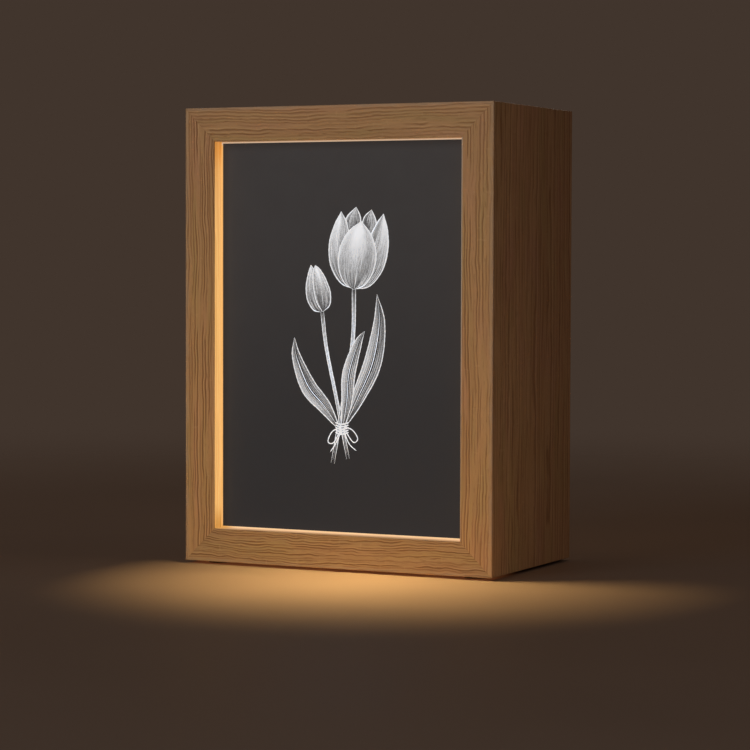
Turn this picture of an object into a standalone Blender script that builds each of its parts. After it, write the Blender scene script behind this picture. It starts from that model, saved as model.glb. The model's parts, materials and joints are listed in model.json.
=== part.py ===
"""Deep oak light box: a mitred box frame round a recessed, back-lit picture
panel with a glowing edge, and a hinged rear door over the electrics.

Metres, +Z up.  The origin is under the middle of the box, on the surface it
stands on.  The picture faces -Y, the rear door faces +Y.
"""
import math

import bmesh
import bpy
from mathutils import Matrix, Vector

MM = 0.001

# ---------------------------------------------------------------- dimensions
BOX_W = 250 * MM            # outer width of the oak box
BOX_D = 148 * MM            # outer depth
BOX_H = 337 * MM            # outer height of the oak, without the feet
FOOT_H = 2.0 * MM           # the feet lift the oak by this much
FACE_W = 25 * MM            # width of the front face of a moulding
LIP_D = 24 * MM             # depth of the front lip
WALL_T = 14 * MM            # wall behind the lip
REBATE_T = 7.5 * MM         # wall left beside the rear rebate
REBATE_Y = 54 * MM          # where the rear rebate's shoulder lies
ROUND_OUT = 0.9 * MM        # rounding of the outer edges
ROUND_IN = 0.6 * MM         # rounding of the inner front edge
MITRE_GAP = 0.15 * MM       # hairline between two mouldings
GAP = 0.3 * MM              # clearance between touching pieces

FRONT = -BOX_D / 2
BACK = BOX_D / 2
HALF_W = BOX_W / 2
HALF_H = BOX_H / 2
MID_Z = FOOT_H + HALF_H     # height of the middle of the frame

OPEN_W = HALF_W - FACE_W    # half sizes of the front opening
OPEN_H = HALF_H - FACE_W
WALL_W = HALF_W - WALL_T    # half sizes between the walls
WALL_H = HALF_H - WALL_T
REB_W = HALF_W - REBATE_T   # half sizes in the rear rebate
REB_H = HALF_H - REBATE_T

BEZEL_IN = 10.5 * MM        # set back of the glowing bezel from the face
BEZEL_SEEN = 0.8 * MM       # width of the glowing line
BEZEL_WALL = 0.4 * MM
BEZEL_LIP = 0.5 * MM        # thickness of the lip that holds the film
FIT = 0.2 * MM              # clearance of the bezel and of the panel in it
FILM_T = 0.8 * MM
DIFFUSER_T = 3.0 * MM
TRAY_T = 1.2 * MM
TRAY_BACK = 20 * MM         # y of the tray's rear face
STRIP_MID = 19.5 * MM       # middle of the lip's ledge, in from the outside
SCREW_Z = 138 * MM          # tray screws above and below the middle

PLATE_Y = 54.3 * MM
PLATE_T = 2.0 * MM
PLATE_TOP = 70.0 * MM
DOOR_Y = 54.6 * MM
DOOR_T = 5.0 * MM
DOOR_BOTTOM = 70.8 * MM
EDGE_GAP = 0.4 * MM         # round the door and the plate

KNUCKLE_R = 2.4 * MM
PIN_R = 1.0 * MM
LEAF_T = 1.0 * MM
HINGE_L = 30 * MM
HINGE_Z = (95 * MM, 277 * MM)
HINGE_X = -REB_W + GAP + KNUCKLE_R
HINGE_Y = DOOR_Y + DOOR_T + GAP + KNUCKLE_R
DOOR_LEAF_W = 20 * MM

CONTROL_Z = 40 * MM
INLET_X = -70 * MM
SWITCH_X = 0.0
DIMMER_X = 70 * MM
ROCKER_TILT = math.radians(10)
ROCKER_Y = 56.0 * MM

FINGER_X, FINGER_Z, FINGER_R = 86 * MM, 200 * MM, 10 * MM
VENT_Z, VENT_N, VENT_PITCH = 300 * MM, 7, 9 * MM

DRIVER_Z = 120 * MM
LEAD_R = 1.1 * MM

for old in list(bpy.data.objects):
    bpy.data.objects.remove(old, do_unlink=True)

scene_collection = bpy.context.scene.collection


# ----------------------------------------------------------------- materials
def linear(value):
    value /= 255.0
    return value / 12.92 if value <= 0.04045 else ((value + 0.055) / 1.055) ** 2.4


def material(name, rgb, rough, metal=0.0, emit=0.0):
    mat = bpy.data.materials.new(name)
    mat.use_nodes = True
    shader = mat.node_tree.nodes["Principled BSDF"]
    colour = (linear(rgb[0]), linear(rgb[1]), linear(rgb[2]), 1.0)
    shader.inputs["Base Color"].default_value = colour
    shader.inputs["Roughness"].default_value = rough
    shader.inputs["Metallic"].default_value = metal
    if emit:
        shader.inputs["Emission Color"].default_value = colour
        shader.inputs["Emission Strength"].default_value = emit
    mat.diffuse_color = colour
    return mat


OAK = dict(rgb=(186, 141, 92), rough=0.5)
PLY = dict(rgb=(176, 136, 92), rough=0.6)
CHARCOAL = dict(rgb=(52, 50, 49), rough=0.45)
OPAL = dict(rgb=(240, 238, 232), rough=0.4)
GLOW = dict(rgb=(255, 214, 160), rough=0.4, emit=1.0)
WHITE = dict(rgb=(232, 232, 228), rough=0.5)
BOARD = dict(rgb=(238, 236, 230), rough=0.5)
BLACK = dict(rgb=(28, 28, 29), rough=0.45)
GRAPHITE = dict(rgb=(48, 48, 50), rough=0.5, metal=0.2)
BRASS = dict(rgb=(170, 138, 78), rough=0.35, metal=1.0)
STEEL = dict(rgb=(170, 170, 172), rough=0.35, metal=1.0)
RUBBER = dict(rgb=(30, 30, 31), rough=0.8)
BEECH = dict(rgb=(196, 158, 116), rough=0.6)


# ------------------------------------------------------------------- helpers
def finish_mesh(name, bm, look, origin=(0, 0, 0), smooth=False):
    """Turn a bmesh, drawn in world positions, into an object set at origin."""
    bmesh.ops.recalc_face_normals(bm, faces=bm.faces[:])
    bmesh.ops.translate(bm, verts=bm.verts[:], vec=-Vector(origin))
    mesh = bpy.data.meshes.new(name)
    bm.to_mesh(mesh)
    bm.free()
    obj = bpy.data.objects.new(name, mesh)
    obj.location = origin
    scene_collection.objects.link(obj)
    if look is not None:
        mesh.materials.append(material(name + "_finish", **look))
    if smooth:
        mesh.shade_smooth()
        mesh.set_sharp_from_angle(angle=math.radians(32))
    return obj


def empty(name, location):
    obj = bpy.data.objects.new(name, None)
    obj.location = location
    obj.empty_display_size = 0.02
    scene_collection.objects.link(obj)
    return obj


def hang(obj, pivot):
    """Parent obj to an empty and keep it where it is."""
    obj.parent = pivot
    obj.location = obj.location - pivot.location
    return obj


def loops_to_faces(bm, loops, closed):
    rings = [[bm.verts.new(p) for p in loop] for loop in loops]
    count = len(rings)
    for i in range(count if closed else count - 1):
        a, b = rings[i], rings[(i + 1) % count]
        if len(a) == 1 and len(b) == 1:
            continue
        n = max(len(a), len(b))
        for k in range(n):
            j = (k + 1) % n
            if len(a) == 1:
                bm.faces.new((a[0], b[k], b[j]))
            elif len(b) == 1:
                bm.faces.new((a[k], a[j], b[0]))
            else:
                bm.faces.new((a[k], a[j], b[j], b[k]))
    if not closed:
        for ring in (rings[0], rings[-1]):
            if len(ring) > 1:
                bm.faces.new(ring)


def rect_loft(name, loops, look, centre=(0.0, MID_Z), closed=False, smooth=False):
    """Loft rectangles (half width, half height, y); closed makes a ring."""
    cx, cz = centre
    points = []
    for hx, hz, y in loops:
        points.append([(cx - hx, y, cz - hz), (cx + hx, y, cz - hz),
                       (cx + hx, y, cz + hz), (cx - hx, y, cz + hz)])
    bm = bmesh.new()
    loops_to_faces(bm, points, closed)
    y_mid = (min(l[2] for l in loops) + max(l[2] for l in loops)) / 2
    return finish_mesh(name, bm, look, (cx, y_mid, cz), smooth)


def polar(name, rings, look, centre, axis="Y", segments=24, angles=None, origin=None,
          closed=False, flip=False):
    """Turned shape.  rings are (radius or list of radii, height along axis);
    radius 0 closes a pole.  flip points the height down the axis."""
    if angles is None:
        angles = [2 * math.pi * k / segments for k in range(segments)]
    frames = {"X": ((0, 1, 0), (0, 0, 1), (1, 0, 0)),
              "Y": ((0, 0, 1), (1, 0, 0), (0, 1, 0)),
              "Z": ((1, 0, 0), (0, 1, 0), (0, 0, 1))}
    u, v, w = (Vector(t) for t in frames[axis])
    centre = Vector(centre)
    sign = -1.0 if flip else 1.0
    points = []
    for radius, height in rings:
        base = centre + w * (height * sign)
        if radius == 0:
            points.append([base])
            continue
        radii = radius if isinstance(radius, (list, tuple)) else [radius] * len(angles)
        points.append([base + u * (r * math.cos(a)) + v * (r * math.sin(a))
                       for r, a in zip(radii, angles)])
    bm = bmesh.new()
    loops_to_faces(bm, points, closed)
    return finish_mesh(name, bm, look, origin if origin is not None else centre, smooth=True)


def block(name, lo, hi, look, origin=None, bevel=0.0, segments=2):
    bm = bmesh.new()
    bmesh.ops.create_cube(bm, size=1.0)
    lo, hi = Vector(lo), Vector(hi)
    for vert in bm.verts:
        vert.co = Vector([(lo[i] + hi[i]) / 2 + vert.co[i] * (hi[i] - lo[i]) for i in range(3)])
    obj = finish_mesh(name, bm, look, origin if origin is not None else (lo + hi) / 2)
    if bevel:
        mod = obj.modifiers.new("edges", "BEVEL")
        mod.width = bevel
        mod.segments = segments
        mod.limit_method = "ANGLE"
    return obj


def cutter(name, shapes):
    """One hidden body for a Boolean: round bars and boxes that don't touch.
    A bar is ("bar", axis, centre, radius, length, sides); a box is ("box", lo, hi);
    a cone is ("cone", axis, centre, r_low, r_high, length, sides)."""
    bm = bmesh.new()
    turn = {"X": Matrix.Rotation(math.pi / 2, 4, "Y"), "Y": Matrix.Rotation(-math.pi / 2, 4, "X"),
            "Z": Matrix.Identity(4)}
    for shape in shapes:
        if shape[0] == "bar":
            _, axis, centre, radius, length, sides = shape
            bmesh.ops.create_cone(bm, cap_ends=True, segments=sides, radius1=radius,
                                  radius2=radius, depth=length,
                                  matrix=Matrix.Translation(centre) @ turn[axis])
        elif shape[0] == "cone":
            _, axis, centre, low, high, length, sides = shape
            bmesh.ops.create_cone(bm, cap_ends=True, segments=sides, radius1=low,
                                  radius2=high, depth=length,
                                  matrix=Matrix.Translation(centre) @ turn[axis])
        else:
            lo, hi = Vector(shape[1]), Vector(shape[2])
            size = hi - lo
            bmesh.ops.create_cube(bm, size=1.0, matrix=Matrix.Translation((lo + hi) / 2)
                                  @ Matrix.Diagonal((size.x, size.y, size.z, 1.0)))
    obj = finish_mesh(name, bm, None)
    obj.hide_render = True
    obj.display_type = "WIRE"
    return obj


def boolean(obj, tool, operation="DIFFERENCE"):
    mod = obj.modifiers.new(operation.lower() + "_" + tool.name, "BOOLEAN")
    mod.operation = operation
    mod.object = tool
    mod.solver = "EXACT"
    return mod


# --------------------------------------------------------- mitred oak frame
def moulding_profile():
    """Cross-section as (depth in from the outer face, y), with rounded edges."""
    def corner(cu, cy, radius, start, steps):
        return [(cu + radius * math.cos(math.radians(start + 90.0 * k / steps)),
                 cy + radius * math.sin(math.radians(start + 90.0 * k / steps)))
                for k in range(steps + 1)]
    points = []
    points += corner(ROUND_OUT, FRONT + ROUND_OUT, ROUND_OUT, 180, 3)
    points += corner(FACE_W - ROUND_IN, FRONT + ROUND_IN, ROUND_IN, 270, 2)
    points += [(FACE_W, FRONT + LIP_D), (WALL_T, FRONT + LIP_D), (WALL_T, REBATE_Y),
               (REBATE_T, REBATE_Y), (REBATE_T, BACK)]
    points += corner(ROUND_OUT, BACK - ROUND_OUT, ROUND_OUT, 90, 2)
    return points


def cut_off(bm, point, normal):
    """Remove what lies beyond a plane and close the cut."""
    result = bmesh.ops.bisect_plane(bm, geom=bm.verts[:] + bm.edges[:] + bm.faces[:],
                                    dist=1e-7, plane_co=point, plane_no=normal,
                                    clear_outer=True)
    edges = [g for g in result["geom_cut"] if isinstance(g, bmesh.types.BMEdge)]
    if len(edges) > 2:
        bmesh.ops.edgeloop_fill(bm, edges=edges)


def moulding(name, side):
    profile = moulding_profile()
    slack = MITRE_GAP / 2 * math.sqrt(2)
    ends = []
    for sign in (-1, 1):
        ring = []
        for depth, y in profile:
            if side in ("top", "bottom"):
                x = sign * (HALF_W - depth - slack)
                z = MID_Z + (HALF_H - depth) * (1 if side == "top" else -1)
            else:
                x = (HALF_W - depth) * (1 if side == "right" else -1)
                z = MID_Z + sign * (HALF_H - depth - slack)
            ring.append((x, y, z))
        ends.append(ring)
    bm = bmesh.new()
    loops_to_faces(bm, ends, closed=False)
    bmesh.ops.recalc_face_normals(bm, faces=bm.faces[:])
    for sx in (-1, 1):
        for sz in (-1, 1):
            heart = Vector((sx * (HALF_W - ROUND_OUT), 0, MID_Z + sz * (HALF_H - ROUND_OUT)))
            for degrees in (18, 45, 72):
                a = math.radians(degrees)
                normal = Vector((sx * math.cos(a), 0, sz * math.sin(a)))
                cut_off(bm, heart + normal * ROUND_OUT * 1.02, normal)
    centre = {"top": (0, 0, MID_Z + HALF_H - FACE_W / 2), "bottom": (0, 0, MID_Z - HALF_H + FACE_W / 2),
              "left": (-HALF_W + FACE_W / 2, 0, MID_Z), "right": (HALF_W - FACE_W / 2, 0, MID_Z)}[side]
    return finish_mesh(name, bm, OAK, centre)


assembly = empty("light_box", (0, 0, 0))
frame_top = moulding("frame_top", "top")
frame_bottom = moulding("frame_bottom", "bottom")
frame_left = moulding("frame_left", "left")
frame_right = moulding("frame_right", "right")

# ------------------------------------------------------ picture and its edge
edge_w, edge_h = OPEN_W - FIT, OPEN_H - FIT
y_bezel = FRONT + BEZEL_IN
y_ledge = FRONT + LIP_D + GAP
glow_bezel = rect_loft("glow_bezel", [
    (edge_w, edge_h, y_bezel),
    (edge_w, edge_h, y_ledge),
    (edge_w + 9.8 * MM, edge_h + 9.8 * MM, y_ledge),
    (edge_w + 9.8 * MM, edge_h + 9.8 * MM, y_ledge + 1.5 * MM),
    (edge_w - BEZEL_WALL, edge_h - BEZEL_WALL, y_ledge + 1.5 * MM),
    (edge_w - BEZEL_WALL, edge_h - BEZEL_WALL, y_bezel + BEZEL_LIP),
    (edge_w - BEZEL_SEEN, edge_h - BEZEL_SEEN, y_bezel + BEZEL_LIP),
    (edge_w - BEZEL_SEEN, edge_h - BEZEL_SEEN, y_bezel)], GLOW, closed=True)

pane_w, pane_h = edge_w - BEZEL_WALL - FIT, edge_h - BEZEL_WALL - FIT
y_film = y_bezel + BEZEL_LIP + FIT
y_diffuser = y_film + FILM_T + GAP
y_mouth = y_diffuser + DIFFUSER_T + GAP
picture_film = rect_loft("picture_film", [(pane_w, pane_h, y_film),
                                          (pane_w, pane_h, y_film + FILM_T)], CHARCOAL)
diffuser_sheet = rect_loft("diffuser_sheet", [(pane_w, pane_h, y_diffuser),
                                              (pane_w, pane_h, y_diffuser + DIFFUSER_T)], OPAL)

# ---------------------------------------- halo housing behind the front lip
y_house = y_ledge + 1.5 * MM + GAP
y_house_back = y_house + 9.9 * MM
groove = 5.0 * MM
house_out_w, house_out_h = WALL_W - 0.4 * MM, WALL_H - 0.4 * MM
house_in_w, house_in_h = OPEN_W + 0.2 * MM, OPEN_H + 0.2 * MM
groove_in, groove_out = 1.8 * MM, 8.8 * MM
halo_housing = rect_loft("halo_housing", [
    (house_in_w, house_in_h, y_house),
    (house_in_w, house_in_h, y_house_back),
    (house_out_w, house_out_h, y_house_back),
    (house_out_w, house_out_h, y_house),
    (house_in_w + groove_out, house_in_h + groove_out, y_house),
    (house_in_w + groove_out, house_in_h + groove_out, y_house + groove),
    (house_in_w + groove_in, house_in_h + groove_in, y_house + groove),
    (house_in_w + groove_in, house_in_h + groove_in, y_house)], WHITE, closed=True)

# --------------------------------------------------------------- light tray
y_flange = y_house_back + GAP
light_tray = rect_loft("light_tray", [
    (pane_w, pane_h, TRAY_BACK),
    (pane_w, pane_h, y_flange + TRAY_T),
    (house_out_w, house_out_h, y_flange + TRAY_T),
    (house_out_w, house_out_h, y_flange),
    (pane_w, pane_h, y_flange),
    (pane_w, pane_h, y_mouth),
    (pane_w - TRAY_T, pane_h - TRAY_T, y_mouth),
    (pane_w - TRAY_T, pane_h - TRAY_T, TRAY_BACK - TRAY_T)], WHITE)

screw_x = HALF_W - STRIP_MID
tray_screw_spots = [(sx * screw_x, MID_Z + sz * SCREW_Z) for sx in (-1, 1) for sz in (-1, 1)]
halo_lead_spot = (screw_x, MID_Z + HALF_H - STRIP_MID)
tray_lead_spot = (-9 * MM, 178 * MM)

bars = [("bar", "Y", (x, y_flange, z), 1.8 * MM, 3 * MM, 12) for x, z in tray_screw_spots]
bars.append(("bar", "Y", (halo_lead_spot[0], y_flange, halo_lead_spot[1]), 1.9 * MM, 3 * MM, 12))
bars.append(("bar", "Y", (tray_lead_spot[0], TRAY_BACK, tray_lead_spot[1]), 2.4 * MM, 6 * MM, 12))
boolean(light_tray, cutter("cut_light_tray", bars))
bars = [("bar", "Y", (x, y_house_back - 2 * MM, z), 1.8 * MM, 12 * MM, 12) for x, z in tray_screw_spots]
bars.append(("bar", "Y", (halo_lead_spot[0], y_house_back - 2 * MM, halo_lead_spot[1]), 1.9 * MM, 12 * MM, 12))
boolean(halo_housing, cutter("cut_halo_housing", bars))
bars = [("bar", "Y", (x, y_ledge, z), 1.8 * MM, 6 * MM, 12) for x, z in tray_screw_spots]
boolean(glow_bezel, cutter("cut_glow_bezel", bars))


# --------------------------------------------------------------- LED strips
def led_strip(name, axis, fixed, centre, length, width, y_back, count, chip, look, facing=-1):
    """A thin board with raised chips on the side that faces -Y.
    axis is the way it runs; fixed is its middle on the other axis."""
    t_board, t_chip = 1.0 * MM, 1.3 * MM
    y_front = y_back + facing * t_board
    pitch = length / count
    marks = [-length / 2]
    for k in range(count):
        mid = -length / 2 + pitch * (k + 0.5)
        marks += [mid - chip / 2, mid + chip / 2]
    marks.append(length / 2)
    across = [-width / 2, -chip / 2, chip / 2, width / 2]

    def place(along, over, y):
        return (fixed + over, y, centre + along) if axis == "Z" else (centre + along, y, fixed + over)

    bm = bmesh.new()
    grid = [[bm.verts.new(place(m, c, y_front)) for c in across] for m in marks]
    chips = []
    for i in range(len(marks) - 1):
        for j in range(3):
            face = bm.faces.new((grid[i][j], grid[i + 1][j], grid[i + 1][j + 1], grid[i][j + 1]))
            if j == 1 and i % 2 == 1:
                chips.append(face)
    low = [bm.verts.new(place(m, c, y_back)) for m, c in
           ((marks[0], across[0]), (marks[-1], across[0]), (marks[-1], across[-1]), (marks[0], across[-1]))]
    bm.faces.new(low)
    bm.faces.new([low[0], low[1]] + [grid[i][0] for i in reversed(range(len(marks)))])
    bm.faces.new([low[3], low[2]] + [grid[i][3] for i in reversed(range(len(marks)))])
    bm.faces.new([low[0], low[3]] + [grid[0][j] for j in reversed(range(4))])
    bm.faces.new([low[1], low[2]] + [grid[-1][j] for j in reversed(range(4))])
    for face in chips:
        new = bmesh.ops.extrude_face_region(bm, geom=[face])
        verts = [g for g in new["geom"] if isinstance(g, bmesh.types.BMVert)]
        bmesh.ops.translate(bm, verts=verts, vec=(0, facing * t_chip, 0))
    doomed = [f for f in chips if f.is_valid]
    if doomed:
        bmesh.ops.delete(bm, geom=doomed, context="FACES_ONLY")
    return finish_mesh(name, bm, look, place(0, 0, y_back))


y_strip = y_house + groove - GAP
for label, axis, fixed, centre, length, count in (
        ("top", "X", MID_Z + HALF_H - STRIP_MID, 0, 186 * MM, 8),
        ("bottom", "X", MID_Z - HALF_H + STRIP_MID, 0, 186 * MM, 8),
        ("left", "Z", -screw_x, MID_Z, 258 * MM, 11),
        ("right", "Z", screw_x, MID_Z, 258 * MM, 11)):
    led_strip("halo_strip_" + label, axis, fixed, centre, length, 5 * MM, y_strip,
              count, 2.8 * MM, BOARD)
for label, x in (("left", -60 * MM), ("middle", 0), ("right", 60 * MM)):
    led_strip("backlight_strip_" + label, "Z", x, MID_Z, 264 * MM, 10 * MM,
              TRAY_BACK - TRAY_T - GAP, 8, 5 * MM, BOARD)

# ----------------------------------------------------- rear plate and batten
cross_batten = block("cross_batten", (-WALL_W + GAP, 42 * MM, 60 * MM),
                     (WALL_W - GAP, 54 * MM, 80 * MM), BEECH)
control_plate = block("control_plate", (-REB_W + EDGE_GAP, PLATE_Y, MID_Z - REB_H + EDGE_GAP),
                      (REB_W - EDGE_GAP, PLATE_Y + PLATE_T, PLATE_TOP), GRAPHITE)
plate_screw_spots = [(-98 * MM, 12.75 * MM), (98 * MM, 12.75 * MM), (-98 * MM, 66 * MM), (98 * MM, 66 * MM)]
y_plate = PLATE_Y + PLATE_T / 2
shapes = [("bar", "Y", (x, y_plate, z), 1.7 * MM, 6 * MM, 12) for x, z in plate_screw_spots]
shapes.append(("box", (SWITCH_X - 6.5 * MM, y_plate - 3 * MM, CONTROL_Z - 9.5 * MM),
               (SWITCH_X + 6.5 * MM, y_plate + 3 * MM, CONTROL_Z + 9.5 * MM)))
shapes.append(("bar", "Y", (DIMMER_X, y_plate, CONTROL_Z), 4.5 * MM, 6 * MM, 24))
shapes.append(("bar", "Y", (INLET_X, y_plate, CONTROL_Z), 4.4 * MM, 6 * MM, 24))
boolean(control_plate, cutter("cut_control_plate", shapes))
boolean(cross_batten, cutter("cut_cross_batten", [
    ("bar", "Y", (x, 51 * MM, z), 1.7 * MM, 12 * MM, 12) for x, z in plate_screw_spots[2:]]))
boolean(frame_bottom, cutter("cut_frame_bottom", [
    ("bar", "Y", (x, 51 * MM, z), 1.7 * MM, 12 * MM, 12) for x, z in plate_screw_spots[:2]]))

# ---------------------------------------------------------------- rear door
door_x0, door_x1 = -REB_W + EDGE_GAP, REB_W - EDGE_GAP
door_top = MID_Z + REB_H - EDGE_GAP
hinge_point = Vector((HINGE_X, HINGE_Y, (DOOR_BOTTOM + door_top) / 2))
rear_door = block("rear_door", (door_x0, DOOR_Y, DOOR_BOTTOM), (door_x1, DOOR_Y + DOOR_T, door_top),
                  PLY, origin=hinge_point)
leaf_screw_z = [z0 + dz for z0 in HINGE_Z for dz in (6 * MM, 24 * MM)]
door_screw_x = HINGE_X + 12.5 * MM
frame_screw_y = HINGE_Y + 7.2 * MM
y_door = DOOR_Y + DOOR_T / 2
shapes = [("bar", "Y", (FINGER_X, y_door, FINGER_Z), FINGER_R, 10 * MM, 32)]
shapes += [("bar", "Y", (door_screw_x, y_door + 2.0 * MM, z), 1.2 * MM, 7.0 * MM, 12) for z in leaf_screw_z]
for k in range(VENT_N):
    x = (k - (VENT_N - 1) / 2) * VENT_PITCH
    shapes.append(("box", (x - 1.5 * MM, y_door - 5 * MM, VENT_Z - 14 * MM),
                   (x + 1.5 * MM, y_door + 5 * MM, VENT_Z + 14 * MM)))
boolean(rear_door, cutter("cut_rear_door", shapes))
boolean(frame_left, cutter("cut_frame_left", [
    ("bar", "Y", (x, FRONT + LIP_D - 3 * MM, z), 1.8 * MM, 14 * MM, 12) for x, z in tray_screw_spots if x < 0]
    + [("bar", "X", (-REB_W, frame_screw_y, z), 1.2 * MM, 11 * MM, 12) for z in leaf_screw_z]))
boolean(frame_right, cutter("cut_frame_right", [
    ("bar", "Y", (x, FRONT + LIP_D - 3 * MM, z), 1.8 * MM, 14 * MM, 12) for x, z in tray_screw_spots if x > 0]))


# ------------------------------------------------------------------- hinges
def tube(name, z0, z1, radius):
    obj = polar(name, [(0, z0), (radius, z0), (radius, z1), (0, z1)], None,
                (HINGE_X, HINGE_Y, 0), "Z", 20)
    obj.hide_render = True
    obj.display_type = "WIRE"
    return obj


def countersink(axis, at, z_list):
    """Cutters for flush screw heads: a cone through the leaf and its shank."""
    shapes = []
    for z in z_list:
        if axis == "Y":
            shapes.append(("cone", "Y", (at[0], at[1] - 0.6 * MM, z), 0.9 * MM, 2.3 * MM, 1.4 * MM, 12))
        else:
            shapes.append(("cone", "X", (at[0] - 0.6 * MM, at[1], z), 0.9 * MM, 2.3 * MM, 1.4 * MM, 12))
    return shapes


def hinge(label, z0):
    third = HINGE_L / 3
    lower, middle, upper = (z0, z0 + third - 0.15 * MM), (z0 + third + 0.15 * MM, z0 + 2 * third - 0.15 * MM), \
        (z0 + 2 * third + 0.15 * MM, z0 + HINGE_L)
    bore = ("bar", "Z", (HINGE_X, HINGE_Y, z0 + HINGE_L / 2), PIN_R + 0.3 * MM, HINGE_L + 6 * MM, 16)
    clear = KNUCKLE_R + GAP
    x_leaf = -REB_W + GAP
    y_leaf = DOOR_Y + DOOR_T + GAP
    screws = [z0 + 6 * MM, z0 + 24 * MM]

    frame_leaf = block("hinge_" + label + "_frame_leaf", (x_leaf, HINGE_Y, z0),
                       (x_leaf + LEAF_T, HINGE_Y + 10.8 * MM, z0 + HINGE_L), BRASS,
                       origin=(HINGE_X, HINGE_Y, z0 + HINGE_L / 2))
    boolean(frame_leaf, tube("knuckle_%s_low" % label, lower[0], lower[1], KNUCKLE_R), "UNION")
    boolean(frame_leaf, tube("knuckle_%s_high" % label, upper[0], upper[1], KNUCKLE_R), "UNION")
    boolean(frame_leaf, cutter("cut_%s_frame_leaf" % label, [bore]))
    boolean(frame_leaf, cutter("notch_%s_frame_leaf" % label, [
        ("box", (HINGE_X - 6 * MM, HINGE_Y - 6 * MM, lower[1]), (HINGE_X + 6 * MM, HINGE_Y + clear, upper[0]))]
        + countersink("X", (x_leaf + LEAF_T, frame_screw_y), screws)))

    door_leaf = block("hinge_" + label + "_door_leaf", (HINGE_X, y_leaf, z0),
                      (HINGE_X + DOOR_LEAF_W, y_leaf + LEAF_T, z0 + HINGE_L), BRASS,
                      origin=(HINGE_X, HINGE_Y, z0 + HINGE_L / 2))
    boolean(door_leaf, tube("knuckle_%s_mid" % label, middle[0], middle[1], KNUCKLE_R), "UNION")
    boolean(door_leaf, cutter("cut_%s_door_leaf" % label, [bore]))
    boolean(door_leaf, cutter("notch_%s_door_leaf" % label, [
        ("box", (HINGE_X - 6 * MM, HINGE_Y - 6 * MM, z0 - 2 * MM), (HINGE_X + clear, HINGE_Y + 6 * MM, middle[0])),
        ("box", (HINGE_X - 6 * MM, HINGE_Y - 6 * MM, middle[1]),
         (HINGE_X + clear, HINGE_Y + 6 * MM, z0 + HINGE_L + 2 * MM))]
        + countersink("Y", (door_screw_x, y_leaf + LEAF_T), screws)))

    pin = polar("hinge_" + label + "_pin", [
        (0, z0 - 1.3 * MM), (1.3 * MM, z0 - 1.1 * MM), (1.7 * MM, z0 - GAP), (PIN_R, z0 - GAP),
        (PIN_R, z0 + HINGE_L + GAP), (1.7 * MM, z0 + HINGE_L + GAP),
        (1.3 * MM, z0 + HINGE_L + 1.1 * MM), (0, z0 + HINGE_L + 1.3 * MM)],
        BRASS, (HINGE_X, HINGE_Y, 0), "Z", 16, origin=(HINGE_X, HINGE_Y, z0 + HINGE_L / 2))
    return frame_leaf, door_leaf, pin


door_pivot = empty("door_pivot", hinge_point)
root_parts, door_parts = [], [rear_door]
for label, z0 in (("lower", HINGE_Z[0]), ("upper", HINGE_Z[1])):
    a, b, c = hinge(label, z0)
    root_parts += [a, c]
    door_parts.append(b)

# ------------------------------------------------------------------- screws
CROSS_ARM, CROSS_HALF = 0.52, 0.15      # cross recess, as parts of the head radius
phi = math.atan(CROSS_HALF / CROSS_ARM)
CROSS_ANGLES = []
CROSS_SHAPE = []
for quarter in range(4):
    for local, reach in ((phi, math.hypot(CROSS_ARM, CROSS_HALF)),
                         (math.pi / 4, CROSS_HALF * math.sqrt(2)),
                         (math.pi / 2 - phi, math.hypot(CROSS_ARM, CROSS_HALF))):
        CROSS_ANGLES.append(quarter * math.pi / 2 + local)
        CROSS_SHAPE.append(reach)


def screw(name, tip_centre, axis, head_r, head_h, shank_r, length, look, flush=False, flip=False):
    """A cross-head screw.  tip_centre is the point under the head; the head
    points along the axis, or against it with flip."""
    cross = [r * head_r for r in CROSS_SHAPE]
    if flush:
        rings = [(0, -length), (shank_r, -length + 2 * shank_r), (shank_r, -head_h),
                 (head_r, -0.05 * MM), (head_r * 0.98, 0.0)]
        top = 0.0
    else:
        rings = [(0, -length), (shank_r, -length + 2 * shank_r), (shank_r, 0.0), (head_r, 0.0),
                 (head_r, head_h * 0.45), (head_r * 0.72, head_h * 0.95)]
        top = head_h * 0.98
    deep = top - min(head_h * 0.6, 0.9 * MM)
    rings += [(cross, top), ([r * 0.8 for r in cross], deep), (0, deep)]
    return polar(name, rings, look, tip_centre, axis, angles=CROSS_ANGLES, flip=flip)


for k, (x, z) in enumerate(tray_screw_spots):
    place = ("left", "right")[x > 0] + "_" + ("lower", "upper")[z > MID_Z]
    root_parts.append(screw("tray_screw_" + place, (x, y_flange + TRAY_T + GAP, z), "Y",
                            3.2 * MM, 2.0 * MM, 1.5 * MM, 22.0 * MM, STEEL))
for x, z in plate_screw_spots:
    place = ("left", "right")[x > 0] + "_" + ("lower", "upper")[z > CONTROL_Z]
    root_parts.append(screw("plate_screw_" + place, (x, PLATE_Y + PLATE_T + GAP, z), "Y",
                            3.0 * MM, 1.8 * MM, 1.4 * MM, 10.5 * MM, STEEL))
for k, z in enumerate(leaf_screw_z):
    hinge_label = ("lower", "upper")[k // 2]
    spot = "ab"[k % 2]
    root_parts.append(screw("hinge_%s_frame_screw_%s" % (hinge_label, spot),
                            (-REB_W + GAP + LEAF_T, frame_screw_y, z), "X",
                            2.0 * MM, 1.2 * MM, 0.85 * MM, 6.2 * MM, BRASS, flush=True))
    door_parts.append(screw("hinge_%s_door_screw_%s" % (hinge_label, spot),
                            (door_screw_x, DOOR_Y + DOOR_T + GAP + LEAF_T, z), "Y",
                            2.0 * MM, 1.2 * MM, 0.85 * MM, 4.4 * MM, BRASS, flush=True))

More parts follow.
